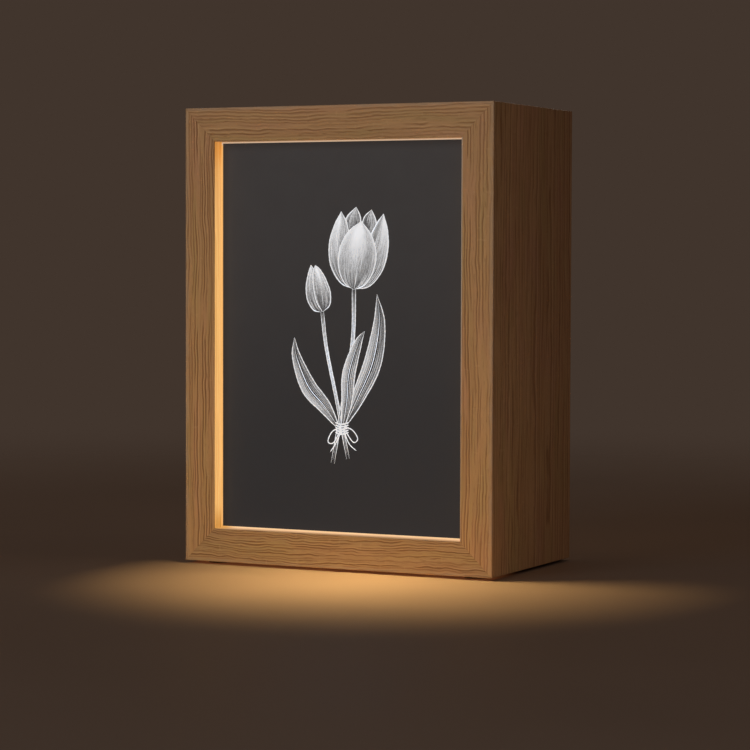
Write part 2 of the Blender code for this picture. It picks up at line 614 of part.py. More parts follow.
# -------------------------------------------------------------- magnet catch
magnet_catch = block("magnet_catch", (98.7 * MM, 41.0 * MM, FINGER_Z - 12 * MM),
                     (WALL_W - GAP, 53.0 * MM, FINGER_Z + 12 * MM), BLACK, bevel=0.6 * MM)
strike_plate = block("strike_plate", (99.7 * MM, 53.5 * MM, FINGER_Z - 9 * MM),
                     (109.7 * MM, DOOR_Y - GAP, FINGER_Z + 9 * MM), STEEL)
door_parts.append(strike_plate)

# ------------------------------------------------------------- rocker switch
y_out = PLATE_Y + PLATE_T + GAP
switch_housing = rect_loft("switch_housing", [
    (6.2 * MM, 9.2 * MM, 42 * MM), (6.2 * MM, 9.2 * MM, y_out), (7.5 * MM, 10.5 * MM, y_out),
    (7.5 * MM, 10.5 * MM, y_out + 1.5 * MM), (7.0 * MM, 10.0 * MM, y_out + 2.0 * MM),
    (5.3 * MM, 8.5 * MM, y_out + 2.0 * MM), (5.3 * MM, 8.5 * MM, 50 * MM)],
    BLACK, centre=(SWITCH_X, CONTROL_Z))
rocker_outline = [(-7.4, 4.0), (0.0, 2.6), (7.4, 4.0), (7.7, 1.0), (6.2, -3.0), (-6.2, -3.0), (-7.7, 1.0)]
bm = bmesh.new()
loops_to_faces(bm, [[(sx * 4.95 * MM, y * MM, z * MM) for z, y in rocker_outline] for sx in (-1, 1)], False)
switch_rocker = finish_mesh("switch_rocker", bm, BLACK)
switch_rocker.location = (SWITCH_X, ROCKER_Y, CONTROL_Z)
switch_rocker.rotation_euler = (ROCKER_TILT, 0, 0)
mod = switch_rocker.modifiers.new("edges", "BEVEL")
mod.width = 0.35 * MM
mod.segments = 2
mod.limit_method = "ANGLE"
mod.angle_limit = math.radians(40)
rocker_pivot = empty("rocker_pivot", (SWITCH_X, ROCKER_Y, CONTROL_Z))

# -------------------------------------------------------------------- dimmer
dimmer_at = (DIMMER_X, 0, CONTROL_Z)
polar("dimmer_body", [(0, 40 * MM), (8.2 * MM, 40 * MM), (8.2 * MM, 53.9 * MM), (4.15 * MM, 53.9 * MM),
                      (4.15 * MM, 61.0 * MM), (3.15 * MM, 61.0 * MM), (3.15 * MM, 45.0 * MM), (0, 45.0 * MM)],
      BLACK, dimmer_at, "Y", 24, origin=(DIMMER_X, 47 * MM, CONTROL_Z))
dimmer_spindle = polar("dimmer_spindle", [(0, 45.4 * MM), (2.7 * MM, 45.4 * MM), (2.7 * MM, 69.6 * MM),
                                          (0, 69.6 * MM)], STEEL, dimmer_at, "Y", 20,
                       origin=(DIMMER_X, 65 * MM, CONTROL_Z))
flutes = 32
wavy = [9.0 * MM if k % 2 else 8.55 * MM for k in range(flutes)]
dimmer_knob = polar("dimmer_knob", [(0, 70.0 * MM), (3.05 * MM, 70.0 * MM), (3.05 * MM, 61.4 * MM),
                                    (4.6 * MM, 61.4 * MM), (4.6 * MM, 59.6 * MM), (8.3 * MM, 59.6 * MM), (wavy, 60.4 * MM), (wavy, 70.6 * MM),
                                    (8.0 * MM, 71.6 * MM), (0, 71.6 * MM)],
                    BLACK, dimmer_at, "Y", flutes, origin=(DIMMER_X, 65 * MM, CONTROL_Z))
hexagon = [6.6 * MM if k % 2 == 0 else 6.6 * MM * math.cos(math.pi / 6) for k in range(12)]
polar("dimmer_nut", [(4.6 * MM, y_out), (hexagon, y_out), (hexagon, y_out + 2.0 * MM),
                     (4.6 * MM, y_out + 2.0 * MM)], STEEL, dimmer_at, "Y", 12,
      origin=(DIMMER_X, y_out + 1 * MM, CONTROL_Z), closed=True)
dimmer_pivot = empty("dimmer_pivot", (DIMMER_X, 65 * MM, CONTROL_Z))

# -------------------------------------------------------------- power socket
inlet_at = (INLET_X, 0, CONTROL_Z)
polar("power_socket", [(0, 56.2 * MM), (0.7 * MM, 56.0 * MM), (1.0 * MM, 55.4 * MM), (1.0 * MM, 48.0 * MM),
                       (2.8 * MM, 48.0 * MM), (2.8 * MM, y_out + 1.8 * MM), (5.4 * MM, y_out + 1.8 * MM),
                       (5.9 * MM, y_out + 1.3 * MM), (5.9 * MM, y_out), (4.0 * MM, y_out),
                       (4.0 * MM, 44.0 * MM), (2.6 * MM, 42.0 * MM), (0, 42.0 * MM)],
      BLACK, inlet_at, "Y", 20, origin=(INLET_X, 50 * MM, CONTROL_Z))

# -------------------------------------------------------------------- driver
rect_loft("led_driver", [(45 * MM, 20 * MM, TRAY_BACK + GAP), (45 * MM, 20 * MM, 36.8 * MM),
                         (43.6 * MM, 18.6 * MM, 38.2 * MM)], BLACK, centre=(0, DRIVER_Z))
driver_low, driver_high, driver_y = DRIVER_Z - 20 * MM, DRIVER_Z + 20 * MM, 30 * MM


# --------------------------------------------------------------------- leads
def lead(name, route, look, points=26):
    """A round lead along a smooth curve through the route's points."""
    route = [Vector(p) for p in route]
    padded = [route[0] * 2 - route[1]] + route + [route[-1] * 2 - route[-2]]
    total = len(route) - 1
    path = []
    for k in range(points):
        t = total * k / (points - 1)
        i = min(int(t), total - 1)
        f = t - i
        p0, p1, p2, p3 = padded[i], padded[i + 1], padded[i + 2], padded[i + 3]
        path.append(0.5 * (2 * p1 + (p2 - p0) * f + (2 * p0 - 5 * p1 + 4 * p2 - p3) * f * f
                           + (3 * p1 - p0 - 3 * p2 + p3) * f ** 3))
    curve = bpy.data.curves.new(name, "CURVE")
    curve.dimensions = "3D"
    curve.bevel_depth = LEAD_R
    curve.bevel_resolution = 2
    curve.use_fill_caps = True
    curve.resolution_u = 1
    curve.render_resolution_u = 0
    spline = curve.splines.new("POLY")
    spline.points.add(points - 1)
    for point, position in zip(spline.points, path):
        point.co = (position.x, position.y, position.z, 1.0)
    curve.materials.append(material(name + "_finish", **look))
    obj = bpy.data.objects.new(name, curve)
    scene_collection.objects.link(obj)
    return obj


lead("lead_socket", [(INLET_X, 41.7 * MM, CONTROL_Z), (INLET_X, 36 * MM, CONTROL_Z + 1 * MM),
                     (INLET_X + 3 * MM, 31 * MM, CONTROL_Z + 14 * MM), (-50 * MM, 30 * MM, 72 * MM),
                     (-32 * MM, driver_y, 88 * MM), (-30 * MM, driver_y, driver_low - GAP)], BLACK)
lead("lead_switch", [(SWITCH_X, 41.7 * MM, CONTROL_Z), (SWITCH_X, 36 * MM, CONTROL_Z + 1 * MM),
                     (SWITCH_X + 1 * MM, 31 * MM, CONTROL_Z + 14 * MM), (2 * MM, 30 * MM, 74 * MM),
                     (0, driver_y, 88 * MM), (0, driver_y, driver_low - GAP)], BLACK)
lead("lead_dimmer", [(DIMMER_X, 39.7 * MM, CONTROL_Z), (DIMMER_X, 34 * MM, CONTROL_Z + 1 * MM),
                     (DIMMER_X - 3 * MM, 30 * MM, CONTROL_Z + 14 * MM), (50 * MM, 30 * MM, 72 * MM),
                     (32 * MM, driver_y, 88 * MM), (30 * MM, driver_y, driver_low - GAP)], BLACK)
lead("lead_backlight", [(-25 * MM, driver_y, driver_high + GAP), (-25 * MM, driver_y, driver_high + 8 * MM),
                        (-22 * MM, 31 * MM, 164 * MM), (-13 * MM, 31 * MM, 175 * MM),
                        (-9 * MM, 27 * MM, 178 * MM), (-9 * MM, 20 * MM, 178 * MM),
                        (-9 * MM, 12 * MM, 178 * MM)], WHITE)
lead("lead_halo", [(25 * MM, driver_y, driver_high + GAP), (25 * MM, driver_y, driver_high + 8 * MM),
                   (40 * MM, 30 * MM, 190 * MM), (80 * MM, 29 * MM, 262 * MM),
                   (100 * MM, 26 * MM, 308 * MM), (104.6 * MM, 14 * MM, halo_lead_spot[1]),
                   (screw_x, -10 * MM, halo_lead_spot[1]), (screw_x, -32 * MM, halo_lead_spot[1]),
                   (screw_x, -42 * MM, halo_lead_spot[1])], WHITE, points=40)

# ---------------------------------------------------------------------- feet
for label, sx, sy in (("front_left", -1, -1), ("front_right", 1, -1), ("rear_left", -1, 1), ("rear_right", 1, 1)):
    polar("foot_" + label, [(0, 0), (8.5 * MM, 0), (9.0 * MM, 0.4 * MM), (9.0 * MM, FOOT_H - GAP),
                            (0, FOOT_H - GAP)], RUBBER, (sx * 105 * MM, sy * 56 * MM, 0), "Z", 24)

# ------------------------------------------------------------------ assembly
for obj in door_parts:
    hang(obj, door_pivot)
hang(switch_rocker, rocker_pivot)
for obj in (dimmer_spindle, dimmer_knob):
    hang(obj, dimmer_pivot)
for pivot in (door_pivot, rocker_pivot, dimmer_pivot):
    pivot.parent = assembly
for obj in list(scene_collection.objects):
    if obj.type != "EMPTY" and obj.parent is None and not obj.hide_render:
        obj.parent = assembly
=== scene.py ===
"""The looks of the deep oak light box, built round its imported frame."""
import json
import math
import random

import bmesh
import bpy
from mathutils import Matrix, Vector

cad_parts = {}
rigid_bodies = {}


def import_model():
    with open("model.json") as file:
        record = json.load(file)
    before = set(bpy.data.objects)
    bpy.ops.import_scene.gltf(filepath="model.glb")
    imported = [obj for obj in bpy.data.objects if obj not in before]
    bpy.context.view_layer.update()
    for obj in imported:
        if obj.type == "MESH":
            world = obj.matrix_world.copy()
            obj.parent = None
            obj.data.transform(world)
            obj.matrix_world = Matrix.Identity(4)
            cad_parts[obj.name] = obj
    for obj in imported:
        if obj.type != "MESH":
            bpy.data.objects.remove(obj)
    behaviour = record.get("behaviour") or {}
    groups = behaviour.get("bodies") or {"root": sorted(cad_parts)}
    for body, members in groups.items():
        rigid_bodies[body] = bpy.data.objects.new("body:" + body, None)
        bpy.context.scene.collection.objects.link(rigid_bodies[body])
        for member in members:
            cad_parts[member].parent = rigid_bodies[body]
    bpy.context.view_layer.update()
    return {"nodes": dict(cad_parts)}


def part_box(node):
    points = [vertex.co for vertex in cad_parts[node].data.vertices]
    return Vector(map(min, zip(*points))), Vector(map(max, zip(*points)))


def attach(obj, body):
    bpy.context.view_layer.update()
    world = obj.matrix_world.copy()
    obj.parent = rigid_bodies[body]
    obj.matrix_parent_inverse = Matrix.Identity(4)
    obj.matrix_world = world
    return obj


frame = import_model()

nodes = frame["nodes"]
MM = 0.001

Z_MID = 0.1705                          # height of the middle of the frame
OPEN_X, OPEN_Z = 0.100, 0.1435          # half sizes of the front opening
Y_FACE = -0.074                         # the frame's front face
Y_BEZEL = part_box("glow_bezel")[0][1]    # the glowing edge's front
Y_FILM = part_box("picture_film")[0][1]   # the print's front
Y_REAR = 0.074


def linear(value):
    value /= 255.0
    return value / 12.92 if value <= 0.04045 else ((value + 0.055) / 1.055) ** 2.4


def rgb(r, g, b):
    return (linear(r), linear(g), linear(b), 1.0)


# ================================================================ camera
def set_camera():
    """The photograph's view: 26 degrees round to the right, 2.6 degrees down."""
    data = bpy.data.cameras.new("camera")
    data.sensor_width = 36.0
    data.lens = 126.9
    data.clip_start, data.clip_end = 0.05, 50.0
    cam = bpy.data.objects.new("camera", data)
    bpy.context.scene.collection.objects.link(cam)
    yaw, pitch, roll = math.radians(26.06), math.radians(-2.59), -0.0029
    forward = Vector((-math.cos(pitch) * math.sin(yaw), math.cos(pitch) * math.cos(yaw), math.sin(pitch)))
    right = Vector((math.cos(yaw), math.sin(yaw), 0.0))
    up = right.cross(forward)
    right2 = right * math.cos(roll) - up * math.sin(roll)
    up2 = right * math.sin(roll) + up * math.cos(roll)
    turn = Matrix((right2, up2, -forward)).transposed().to_4x4()
    cam.matrix_world = Matrix.Translation((0.8686, -1.7835, 0.2303)) @ turn
    bpy.context.scene.camera = cam


# ======================================================== node helpers
class Tree:
    """Short-hand for building a material's nodes."""

    def __init__(self, name):
        self.mat = bpy.data.materials.new(name)
        self.mat.use_nodes = True
        self.tree = self.mat.node_tree
        self.shader = self.tree.nodes["Principled BSDF"]
        self._coords = None
        self._xyz = None

    def add(self, kind, **settings):
        node = self.tree.nodes.new(kind)
        for key, value in settings.items():
            setattr(node, key, value)
        return node

    def plug(self, source, socket):
        if isinstance(source, (int, float, tuple, list)):
            socket.default_value = source
        else:
            self.tree.links.new(source, socket)

    def coords(self):
        if self._coords is None:
            self._coords = self.add("ShaderNodeTexCoord").outputs["Object"]
        return self._coords

    def xyz(self):
        if self._xyz is None:
            node = self.add("ShaderNodeSeparateXYZ")
            self.plug(self.coords(), node.inputs[0])
            self._xyz = tuple(node.outputs)
        return self._xyz

    def combine(self, x, y, z):
        node = self.add("ShaderNodeCombineXYZ")
        for socket, value in zip(node.inputs, (x, y, z)):
            self.plug(value, socket)
        return node.outputs[0]

    def math(self, op, a, b=None, c=None, clamp=False):
        node = self.add("ShaderNodeMath", operation=op, use_clamp=clamp)
        for socket, value in zip(node.inputs, (a, b, c)):
            if value is not None:
                self.plug(value, socket)
        return node.outputs[0]

    def times(self, a, b):
        return self.math("MULTIPLY", a, b)

    def plus(self, a, b):
        return self.math("ADD", a, b)

    def minus(self, a, b):
        return self.math("SUBTRACT", a, b)

    def noise(self, vector, scale=1.0, detail=2.0, rough=0.5, distortion=0.0):
        node = self.add("ShaderNodeTexNoise")
        self.plug(vector, node.inputs["Vector"])
        node.inputs["Scale"].default_value = scale
        node.inputs["Detail"].default_value = detail
        node.inputs["Roughness"].default_value = rough
        node.inputs["Distortion"].default_value = distortion
        return node.outputs["Fac"]

    def hash(self, number):
        node = self.add("ShaderNodeTexWhiteNoise", noise_dimensions="1D")
        self.plug(number, node.inputs["W"])
        return node.outputs["Value"]

    def ramp(self, source, stops):
        node = self.add("ShaderNodeValToRGB")
        while len(node.color_ramp.elements) < len(stops):
            node.color_ramp.elements.new(0.5)
        for element, (place, colour) in zip(node.color_ramp.elements, stops):
            element.position = place
            element.color = colour
        self.plug(source, node.inputs[0])
        return node.outputs[0]

    def smooth(self, source, low, high, out_low=0.0, out_high=1.0):
        node = self.add("ShaderNodeMapRange", interpolation_type="SMOOTHSTEP")
        for key, value in (("Value", source), ("From Min", low), ("From Max", high),
                           ("To Min", out_low), ("To Max", out_high)):
            self.plug(value, node.inputs[key])
        return node.outputs[0]

    def mix(self, factor, a, b, blend="MIX"):
        node = self.add("ShaderNodeMix", data_type="RGBA", blend_type=blend)
        self.plug(factor, node.inputs[0])
        self.plug(a, node.inputs[6])
        self.plug(b, node.inputs[7])
        return node.outputs[2]

    def bump(self, height, strength, distance, normal=None):
        node = self.add("ShaderNodeBump")
        node.inputs["Strength"].default_value = strength
        node.inputs["Distance"].default_value = distance
        self.plug(height, node.inputs["Height"])
        if normal is not None:
            self.plug(normal, node.inputs["Normal"])
        return node.outputs[0]

    def edge_mask(self, radius):
        """1 on a rounded edge, 0 on the flat: how far a rounded normal leans away. Callers lighten edges with it,
        partly as rubbing and partly as a painted highlight.
        """
        bevel = self.add("ShaderNodeBevel", samples=4)
        bevel.inputs["Radius"].default_value = radius
        geo = self.add("ShaderNodeNewGeometry")
        dot = self.add("ShaderNodeVectorMath", operation="DOT_PRODUCT")
        self.plug(bevel.outputs[0], dot.inputs[0])
        self.plug(geo.outputs["Normal"], dot.inputs[1])
        return self.smooth(dot.outputs["Value"], 0.995, 0.8)

    def facing(self):
        """The surface's own normal, split in x, y and z."""
        node = self.add("ShaderNodeSeparateXYZ")
        self.plug(self.add("ShaderNodeTexCoord").outputs["Normal"], node.inputs[0])
        return tuple(node.outputs)

    def set(self, key, value):
        self.plug(value, self.shader.inputs[key])


def put(mat, *names):
    for name in names:
        obj = nodes[name]
        obj.data.materials.clear()
        obj.data.materials.append(mat)


# ============================================================= wood
def growth_lines(t, ring, length, spacing, seed, width=0.36, run=24.0, on=(0.36, 0.50), spread=0.30):
    """One family of growth lines: each has its own place, weight and breaks.
    Returns the dark line and a painted highlight streak next to it, both 0 to 1."""
    number = t.math("MULTIPLY_ADD", ring, 1.0 / spacing, seed * 13.7)
    cell = t.math("FLOOR", number)
    within = t.math("FRACT", number)
    own = t.hash(cell)
    weight = t.hash(t.plus(cell, 71.3))
    place = t.minus(within, t.math("MULTIPLY_ADD", t.minus(own, 0.5), spread, 0.5))
    profile = t.smooth(t.math("ABSOLUTE", place), width, t.times(width, 0.15))
    breaks = t.noise(t.combine(t.times(length, run), t.times(own, 97.0), seed + 0.5), 1.0, 1.5, 0.5)
    shown = t.smooth(breaks, on[0], on[1])
    line = t.times(t.times(profile, shown), t.math("MULTIPLY_ADD", weight, 0.6, 0.4))
    beside = t.smooth(t.math("ABSOLUTE", t.minus(place, t.times(width, 1.25))), t.times(width, 0.9), 0.0)
    return line, t.times(t.times(beside, shown), weight)


def oak(name, along, seed, spacing=2.3 * MM, lines=1.0, calm=1.0, glow=False, arches=None, run=24.0, ripple=0.4, pink=0.40,
        base=((170, 127, 80), (185, 143, 94), (177, 131, 88)), line_rgb=(122, 80, 38), ply=False):
    """Oiled oak whose grain runs along X or Z: broken, gently wandering growth lines with a painted
    highlight next to each, over slow changes of tone, fine pores, and edges lightened partly by rubbing and partly by a
    painted highlight."""
    t = Tree(name)
    x, y, z = t.xyz()
    length, across = (x, z) if along == "X" else (z, x)
    shift = seed * 3.37

    sway = t.noise(t.combine(t.times(length, 8.0), t.times(across, 22.0),
                             t.math("MULTIPLY_ADD", y, 15.0, shift)), 1.0, 1.0, 0.4)
    wave = t.noise(t.combine(t.times(length, 38.0), t.times(across, 75.0),
                             t.math("MULTIPLY_ADD", y, 45.0, shift + 4.0)), 1.0, 1.0, 0.5)
    if arches:
        centre, start, flat, depth = arches
        dx = t.minus(across, centre)
        dl = t.times(t.minus(length, start), flat)
        ring = t.math("SQRT", t.plus(t.times(dx, dx), t.times(dl, dl)))
        ring = t.math("MULTIPLY_ADD", y, depth, ring)
    else:
        # uneven rings through the depth
        uneven = t.noise(t.combine(t.times(y, 46.0), t.times(length, 2.0), shift + 9.0), 1.0, 2.0, 0.5)
        deep = t.math("MULTIPLY_ADD", t.minus(uneven, 0.5), 26.0 * MM, y)
        ring = t.math("MULTIPLY_ADD", deep, 0.40, across)
    # the sides are cut nearly straight along the grain, so their lines wander less
    nx, ny, nz = t.facing()
    broad = t.smooth(t.math("ABSOLUTE", ny), 0.4, 0.8)
    ring = t.plus(ring, t.times(t.minus(sway, 0.5), t.math("MULTIPLY_ADD", broad, 5.6 * MM * calm, 2.4 * MM)))
    ring = t.plus(ring, t.times(t.minus(wave, 0.5), t.math("MULTIPLY_ADD", broad, 1.8 * MM * calm, 1.4 * MM)))
    if ripple:
        small = t.noise(t.combine(t.times(length, 95.0), t.times(across, 120.0),
                                  t.math("MULTIPLY_ADD", y, 60.0, shift + 8.0)), 1.0, 1.0, 0.5)
        ring = t.plus(ring, t.times(t.minus(small, 0.5), t.times(broad, 2.6 * MM * ripple)))

    thick = t.math("MULTIPLY_ADD", broad, 0.09, 0.27)
    main, line_highlight = growth_lines(t, ring, length, spacing, seed, width=thick, run=run)
    fine, _ = growth_lines(t, ring, length, spacing * 0.45, seed + 0.71, width=0.3, run=run * 1.6, on=(0.42, 0.62))
    # the face shows bold lines, the sides a closer, finer set
    line = t.math("ADD", t.times(t.times(main, lines), t.math("MULTIPLY_ADD", broad, 0.22, 0.78)),
                  t.times(t.times(fine, lines), t.math("MULTIPLY_ADD", broad, -0.45, 0.75)), clamp=True)

    pore_noise = t.noise(t.combine(t.times(across, 2300.0), t.times(y, 2300.0), t.times(length, 160.0)),
                         1.0, 1.0, 0.5)
    band = t.noise(t.combine(t.times(ring, 210.0), t.times(length, 4.0), shift + 2.0), 1.0, 1.0, 0.5)
    pores = t.times(t.smooth(pore_noise, 0.60, 0.72), t.smooth(band, 0.35, 0.62))
    fibre = t.noise(t.combine(t.times(across, 1100.0), t.times(y, 1100.0), t.times(length, 30.0)),
                    1.0, 2.0, 0.6)
    flecks = t.smooth(t.noise(t.combine(t.times(length, 300.0), t.times(across, 110.0), t.times(y, 120.0)),
                              1.0, 1.0, 0.5), 0.66, 0.78)

    tone = t.noise(t.combine(t.times(length, 6.0), t.times(ring, 70.0), shift + 1.0), 1.0, 2.0, 0.5)
    body = t.ramp(tone, [(0.28, rgb(*base[0])), (0.5, rgb(*base[1])), (0.72, rgb(*base[2]))])
    hue = t.noise(t.combine(t.times(length, 12.0), t.times(ring, 120.0), shift + 6.0), 1.0, 1.0, 0.5)
    body = t.mix(t.smooth(hue, 0.50, 0.72, 0.0, pink), body, rgb(190, 136, 104))
    body = t.mix(t.smooth(hue, 0.48, 0.28, 0.0, 0.50), body, rgb(172, 142, 86))
    body = t.mix(t.smooth(fibre, 0.3, 0.7, 0.0, 0.16), body, rgb(140, 100, 60))
    # painted highlight next to each growth line
    body = t.mix(t.times(line_highlight, 0.34), body, rgb(216, 176, 130))
    body = t.mix(t.times(line, 0.88), body, rgb(*line_rgb))
    body = t.mix(t.times(pores, 0.42), body, rgb(100, 66, 38))
    body = t.mix(t.times(flecks, 0.13), body, rgb(214, 176, 128))
    if ply:
        edge_on = t.smooth(t.math("ABSOLUTE", ny), 0.6, 0.3)
        layer = t.math("FLOOR", t.math("MULTIPLY_ADD", y, 1000.0, -54.6))
        stripe = t.smooth(t.math("PINGPONG", layer, 1.0), 0.3, 0.7)
        rough_end = t.noise(t.combine(t.times(x, 900.0), t.times(y, 2600.0), t.times(z, 900.0)), 1.0, 3.0, 0.6)
        edge_tone = t.mix(stripe, rgb(122, 84, 50), rgb(188, 150, 104))
        edge_tone = t.mix(t.smooth(rough_end, 0.35, 0.65, 0.0, 0.35), edge_tone, rgb(104, 70, 40))
        body = t.mix(edge_on, body, edge_tone)
    if glow:
        # painted shade darkens the sides a little towards the back, and the face's rim is lighter, partly rubbed and
        # partly a painted highlight
        body = t.mix(t.smooth(y, -0.062, 0.050, 0.0, 0.34), body, rgb(104, 64, 38))
        # rim band lightened partly by rubbing and partly by a painted highlight
        out_x = t.smooth(t.math("ABSOLUTE", x), 0.1205, 0.1240)
        out_z = t.smooth(t.math("ABSOLUTE", t.minus(z, Z_MID)), 0.1650, 0.1680)
        front = t.smooth(y, -0.0725, -0.0735)
        band_edge = t.times(t.math("MAXIMUM", out_x, out_z), front)
        rim_wear_and_highlight = t.noise(t.combine(t.times(x, 60.0), t.times(y, 60.0), t.times(z, 60.0)), 1.0, 2.0, 0.6)
        body = t.mix(t.times(band_edge, t.smooth(rim_wear_and_highlight, 0.35, 0.65, 0.25, 0.75)), body, rgb(172, 143, 114))
        if along == "Z":
            # a painted highlight lightens the right stile's inner arris, more so higher up
            arris = t.times(t.smooth(x, 0.1013, 0.1007), t.math("GREATER_THAN", x, 0.05))
            arris = t.times(arris, t.math("LESS_THAN", t.math("ABSOLUTE", t.minus(z, Z_MID)), OPEN_Z))
            arris = t.times(arris, t.times(front, t.smooth(t.minus(z, Z_MID), -0.12, 0.02, 0.25, 0.85)))
            body = t.mix(arris, body, rgb(192, 177, 162))
    edge = t.edge_mask(0.9 * MM)
    if glow:
        # the joints between rails get no lightened edge, neither rubbing nor painted highlight
        off = t.minus(t.math("ABSOLUTE", x), t.math("ABSOLUTE", t.minus(z, Z_MID)))
        edge = t.times(edge, t.smooth(t.math("ABSOLUTE", t.plus(off, 0.0435)), 0.8 * MM, 2.0 * MM))
    # edges lightened partly by rubbing and partly by a painted highlight where the rounding would catch light
    body = t.mix(t.times(edge, 0.6), body, rgb(214, 182, 150))
    t.set("Base Color", body)

    rough = t.math("MULTIPLY_ADD", line, 0.12, 0.47)
    rough = t.math("MULTIPLY_ADD", pores, 0.15, rough)
    t.set("Roughness", t.math("MULTIPLY_ADD", fibre, 0.08, rough))
    t.shader.inputs["Specular IOR Level"].default_value = 0.4
    height = t.plus(t.times(line, -0.8), t.times(pores, -0.5))
    height = t.plus(height, t.times(fibre, 0.25))
    t.set("Normal", t.bump(height, 0.5, 0.16 * MM))

    if glow:
        # the warm wash that the bezel throws on the reveal
        dz = t.math("ABSOLUTE", t.minus(z, Z_MID))
        inside = t.times(t.math("LESS_THAN", t.math("ABSOLUTE", x), OPEN_X + 0.3 * MM),
                         t.math("LESS_THAN", dz, OPEN_Z + 0.3 * MM))
        inside = t.times(inside, t.smooth(y, Y_FACE + 0.15 * MM, Y_FACE + 0.7 * MM))
        streak = t.noise(t.combine(t.times(across, 900.0), t.times(y, 900.0), t.times(length, 16.0)),
                         1.0, 2.0, 0.5)
        near = t.smooth(y, Y_FACE + 0.6 * MM, Y_BEZEL, 0.0, 1.0)
        if along == "Z":
            # mid height is brightest; redder under the top rail and at the foot
            down = t.math("MULTIPLY_ADD", t.minus(z, Z_MID), -10.0, OPEN_Z * 10.0)
            lit = t.ramp(down, [(0.0, (0.46, 0.165, 0.012, 1.0)), (0.07, (0.61, 0.225, 0.026, 1.0)),
                                (0.20, (0.72, 0.345, 0.088, 1.0)), (0.45, (0.78, 0.415, 0.134, 1.0)),
                                (0.80, (0.80, 0.445, 0.140, 1.0))])
            foot = t.smooth(t.minus(z, Z_MID), -OPEN_Z + 20 * MM, -OPEN_Z + 1 * MM)
            lit = t.mix(foot, lit, (0.44, 0.210, 0.034, 1.0))
            lit = t.mix(t.smooth(streak, 0.35, 0.65, 0.0, 0.28), lit, (0.92, 0.52, 0.20, 1.0))
            lit = t.mix(t.times(line, 0.25), lit, (0.50, 0.22, 0.05, 1.0))
            power = 1.0
        elif name.endswith("bottom"):
            lit = t.mix(t.smooth(streak, 0.35, 0.65), (0.62, 0.385, 0.21, 1.0), (0.72, 0.46, 0.27, 1.0))
            lit = t.mix(near, (0.42, 0.235, 0.115, 1.0), lit)
            lit = t.mix(t.smooth(x, -0.086, -0.097), lit, (0.50, 0.255, 0.070, 1.0))
            power = 1.0
        else:
            lit = t.mix(t.smooth(streak, 0.35, 0.65), (0.16, 0.095, 0.050, 1.0), (0.20, 0.125, 0.070, 1.0))
            power = 1.0
        t.set("Emission Color", lit)
        t.set("Emission Strength", t.times(inside, power))
    return t.mat


# ========================================================== other finishes
def film_colour(t):
    """Charcoal print with a painted sheen that makes it slightly lighter towards the top: (colour, glow)."""
    x, y, z = t.xyz()
    # painted sheen: colour and glow rise towards the top
    rise = t.smooth(z, 0.03, 0.31)
    base = t.mix(rise, rgb(35, 36, 38), rgb(38, 38, 40))
    mottle = t.noise(t.coords(), 60.0, 3.0, 0.6)
    base = t.mix(t.smooth(mottle, 0.3, 0.7, 0.0, 0.10), base, rgb(56, 55, 56))
    glow = t.mix(rise, (0.0150, 0.0139, 0.0145, 1.0), (0.0272, 0.0238, 0.0229, 1.0))
    return base, glow, mottle


def film():
    t = Tree("charcoal_print")
    base, glow, mottle = film_colour(t)
    grain = t.noise(t.coords(), 2600.0, 2.0, 0.5)
    t.set("Base Color", base)
    t.set("Roughness", t.smooth(mottle, 0.3, 0.7, 0.60, 0.70))
    t.shader.inputs["Specular IOR Level"].default_value = 0.25
    t.set("Emission Color", glow)
    t.shader.inputs["Emission Strength"].default_value = 1.0
    t.set("Normal", t.bump(grain, 0.15, 0.03 * MM))
    return t.mat


def chalk():
    """White print with a chalky grain.  The attribute 'tone' holds how white a
    point is, where it lies across the mark, and where along it."""
    t = Tree("white_print")
    base, glow, _ = film_colour(t)
    split = t.add("ShaderNodeSeparateXYZ")
    t.plug(t.add("ShaderNodeAttribute", attribute_name="tone").outputs["Vector"], split.inputs[0])
    white, over, along = split.outputs
    x, y, z = t.xyz()
    tooth = t.noise(t.coords(), 1500.0, 2.0, 0.6)
    streak = t.noise(t.combine(t.times(over, 26.0), t.times(along, 2.2), 0.0), 1.0, 2.0, 0.55)
    grain = t.plus(t.times(tooth, 0.55), t.times(streak, 0.45))
    # where the tone is low only the tooth of the paper takes the chalk
    level = t.smooth(t.plus(white, t.times(t.minus(grain, 0.5), 0.95)), 0.0, 0.92)
    edge = t.smooth(t.math("ABSOLUTE", over), 1.0, 0.75)
    k = t.times(level, t.math("MULTIPLY_ADD", edge, 0.35, 0.65))
    k = t.math("MINIMUM", k, t.smooth(white, 0.0, 0.12))
    t.set("Base Color", t.mix(k, base, rgb(212, 219, 228)))
    t.set("Roughness", t.smooth(tooth, 0.3, 0.7, 0.6, 0.8))
    t.shader.inputs["Specular IOR Level"].default_value = 0.2
    t.set("Emission Color", t.mix(k, glow, (0.56, 0.565, 0.575, 1.0)))
    t.shader.inputs["Emission Strength"].default_value = 1.0
    t.set("Normal", t.bump(tooth, 0.1, 0.02 * MM))
    return t.mat


def bezel():
    t = Tree("glow_edge")
    x, y, z = t.xyz()
    hot = t.noise(t.coords(), 45.0, 1.0, 0.5)
    t.set("Base Color", rgb(120, 100, 78))
    t.set("Roughness", t.smooth(hot, 0.3, 0.7, 0.40, 0.50))
    sides = t.mix(t.smooth(hot, 0.3, 0.7), (0.74, 0.385, 0.115, 1.0), (0.82, 0.43, 0.14, 1.0))
    foot = t.mix(t.smooth(hot, 0.3, 0.7), (0.78, 0.49, 0.25, 1.0), (0.86, 0.57, 0.31, 1.0))
    foot = t.mix(t.smooth(x, -0.086, -0.097), foot, (0.66, 0.33, 0.085, 1.0))
    lit = t.mix(t.smooth(z, Z_MID - 0.1402, Z_MID - 0.1424), sides, foot)
    lit = t.mix(t.smooth(z, Z_MID + 0.1402, Z_MID + 0.1424), lit, (0.58, 0.41, 0.275, 1.0))
    t.set("Emission Color", lit)
    t.shader.inputs["Emission Strength"].default_value = 1.0
    return t.mat


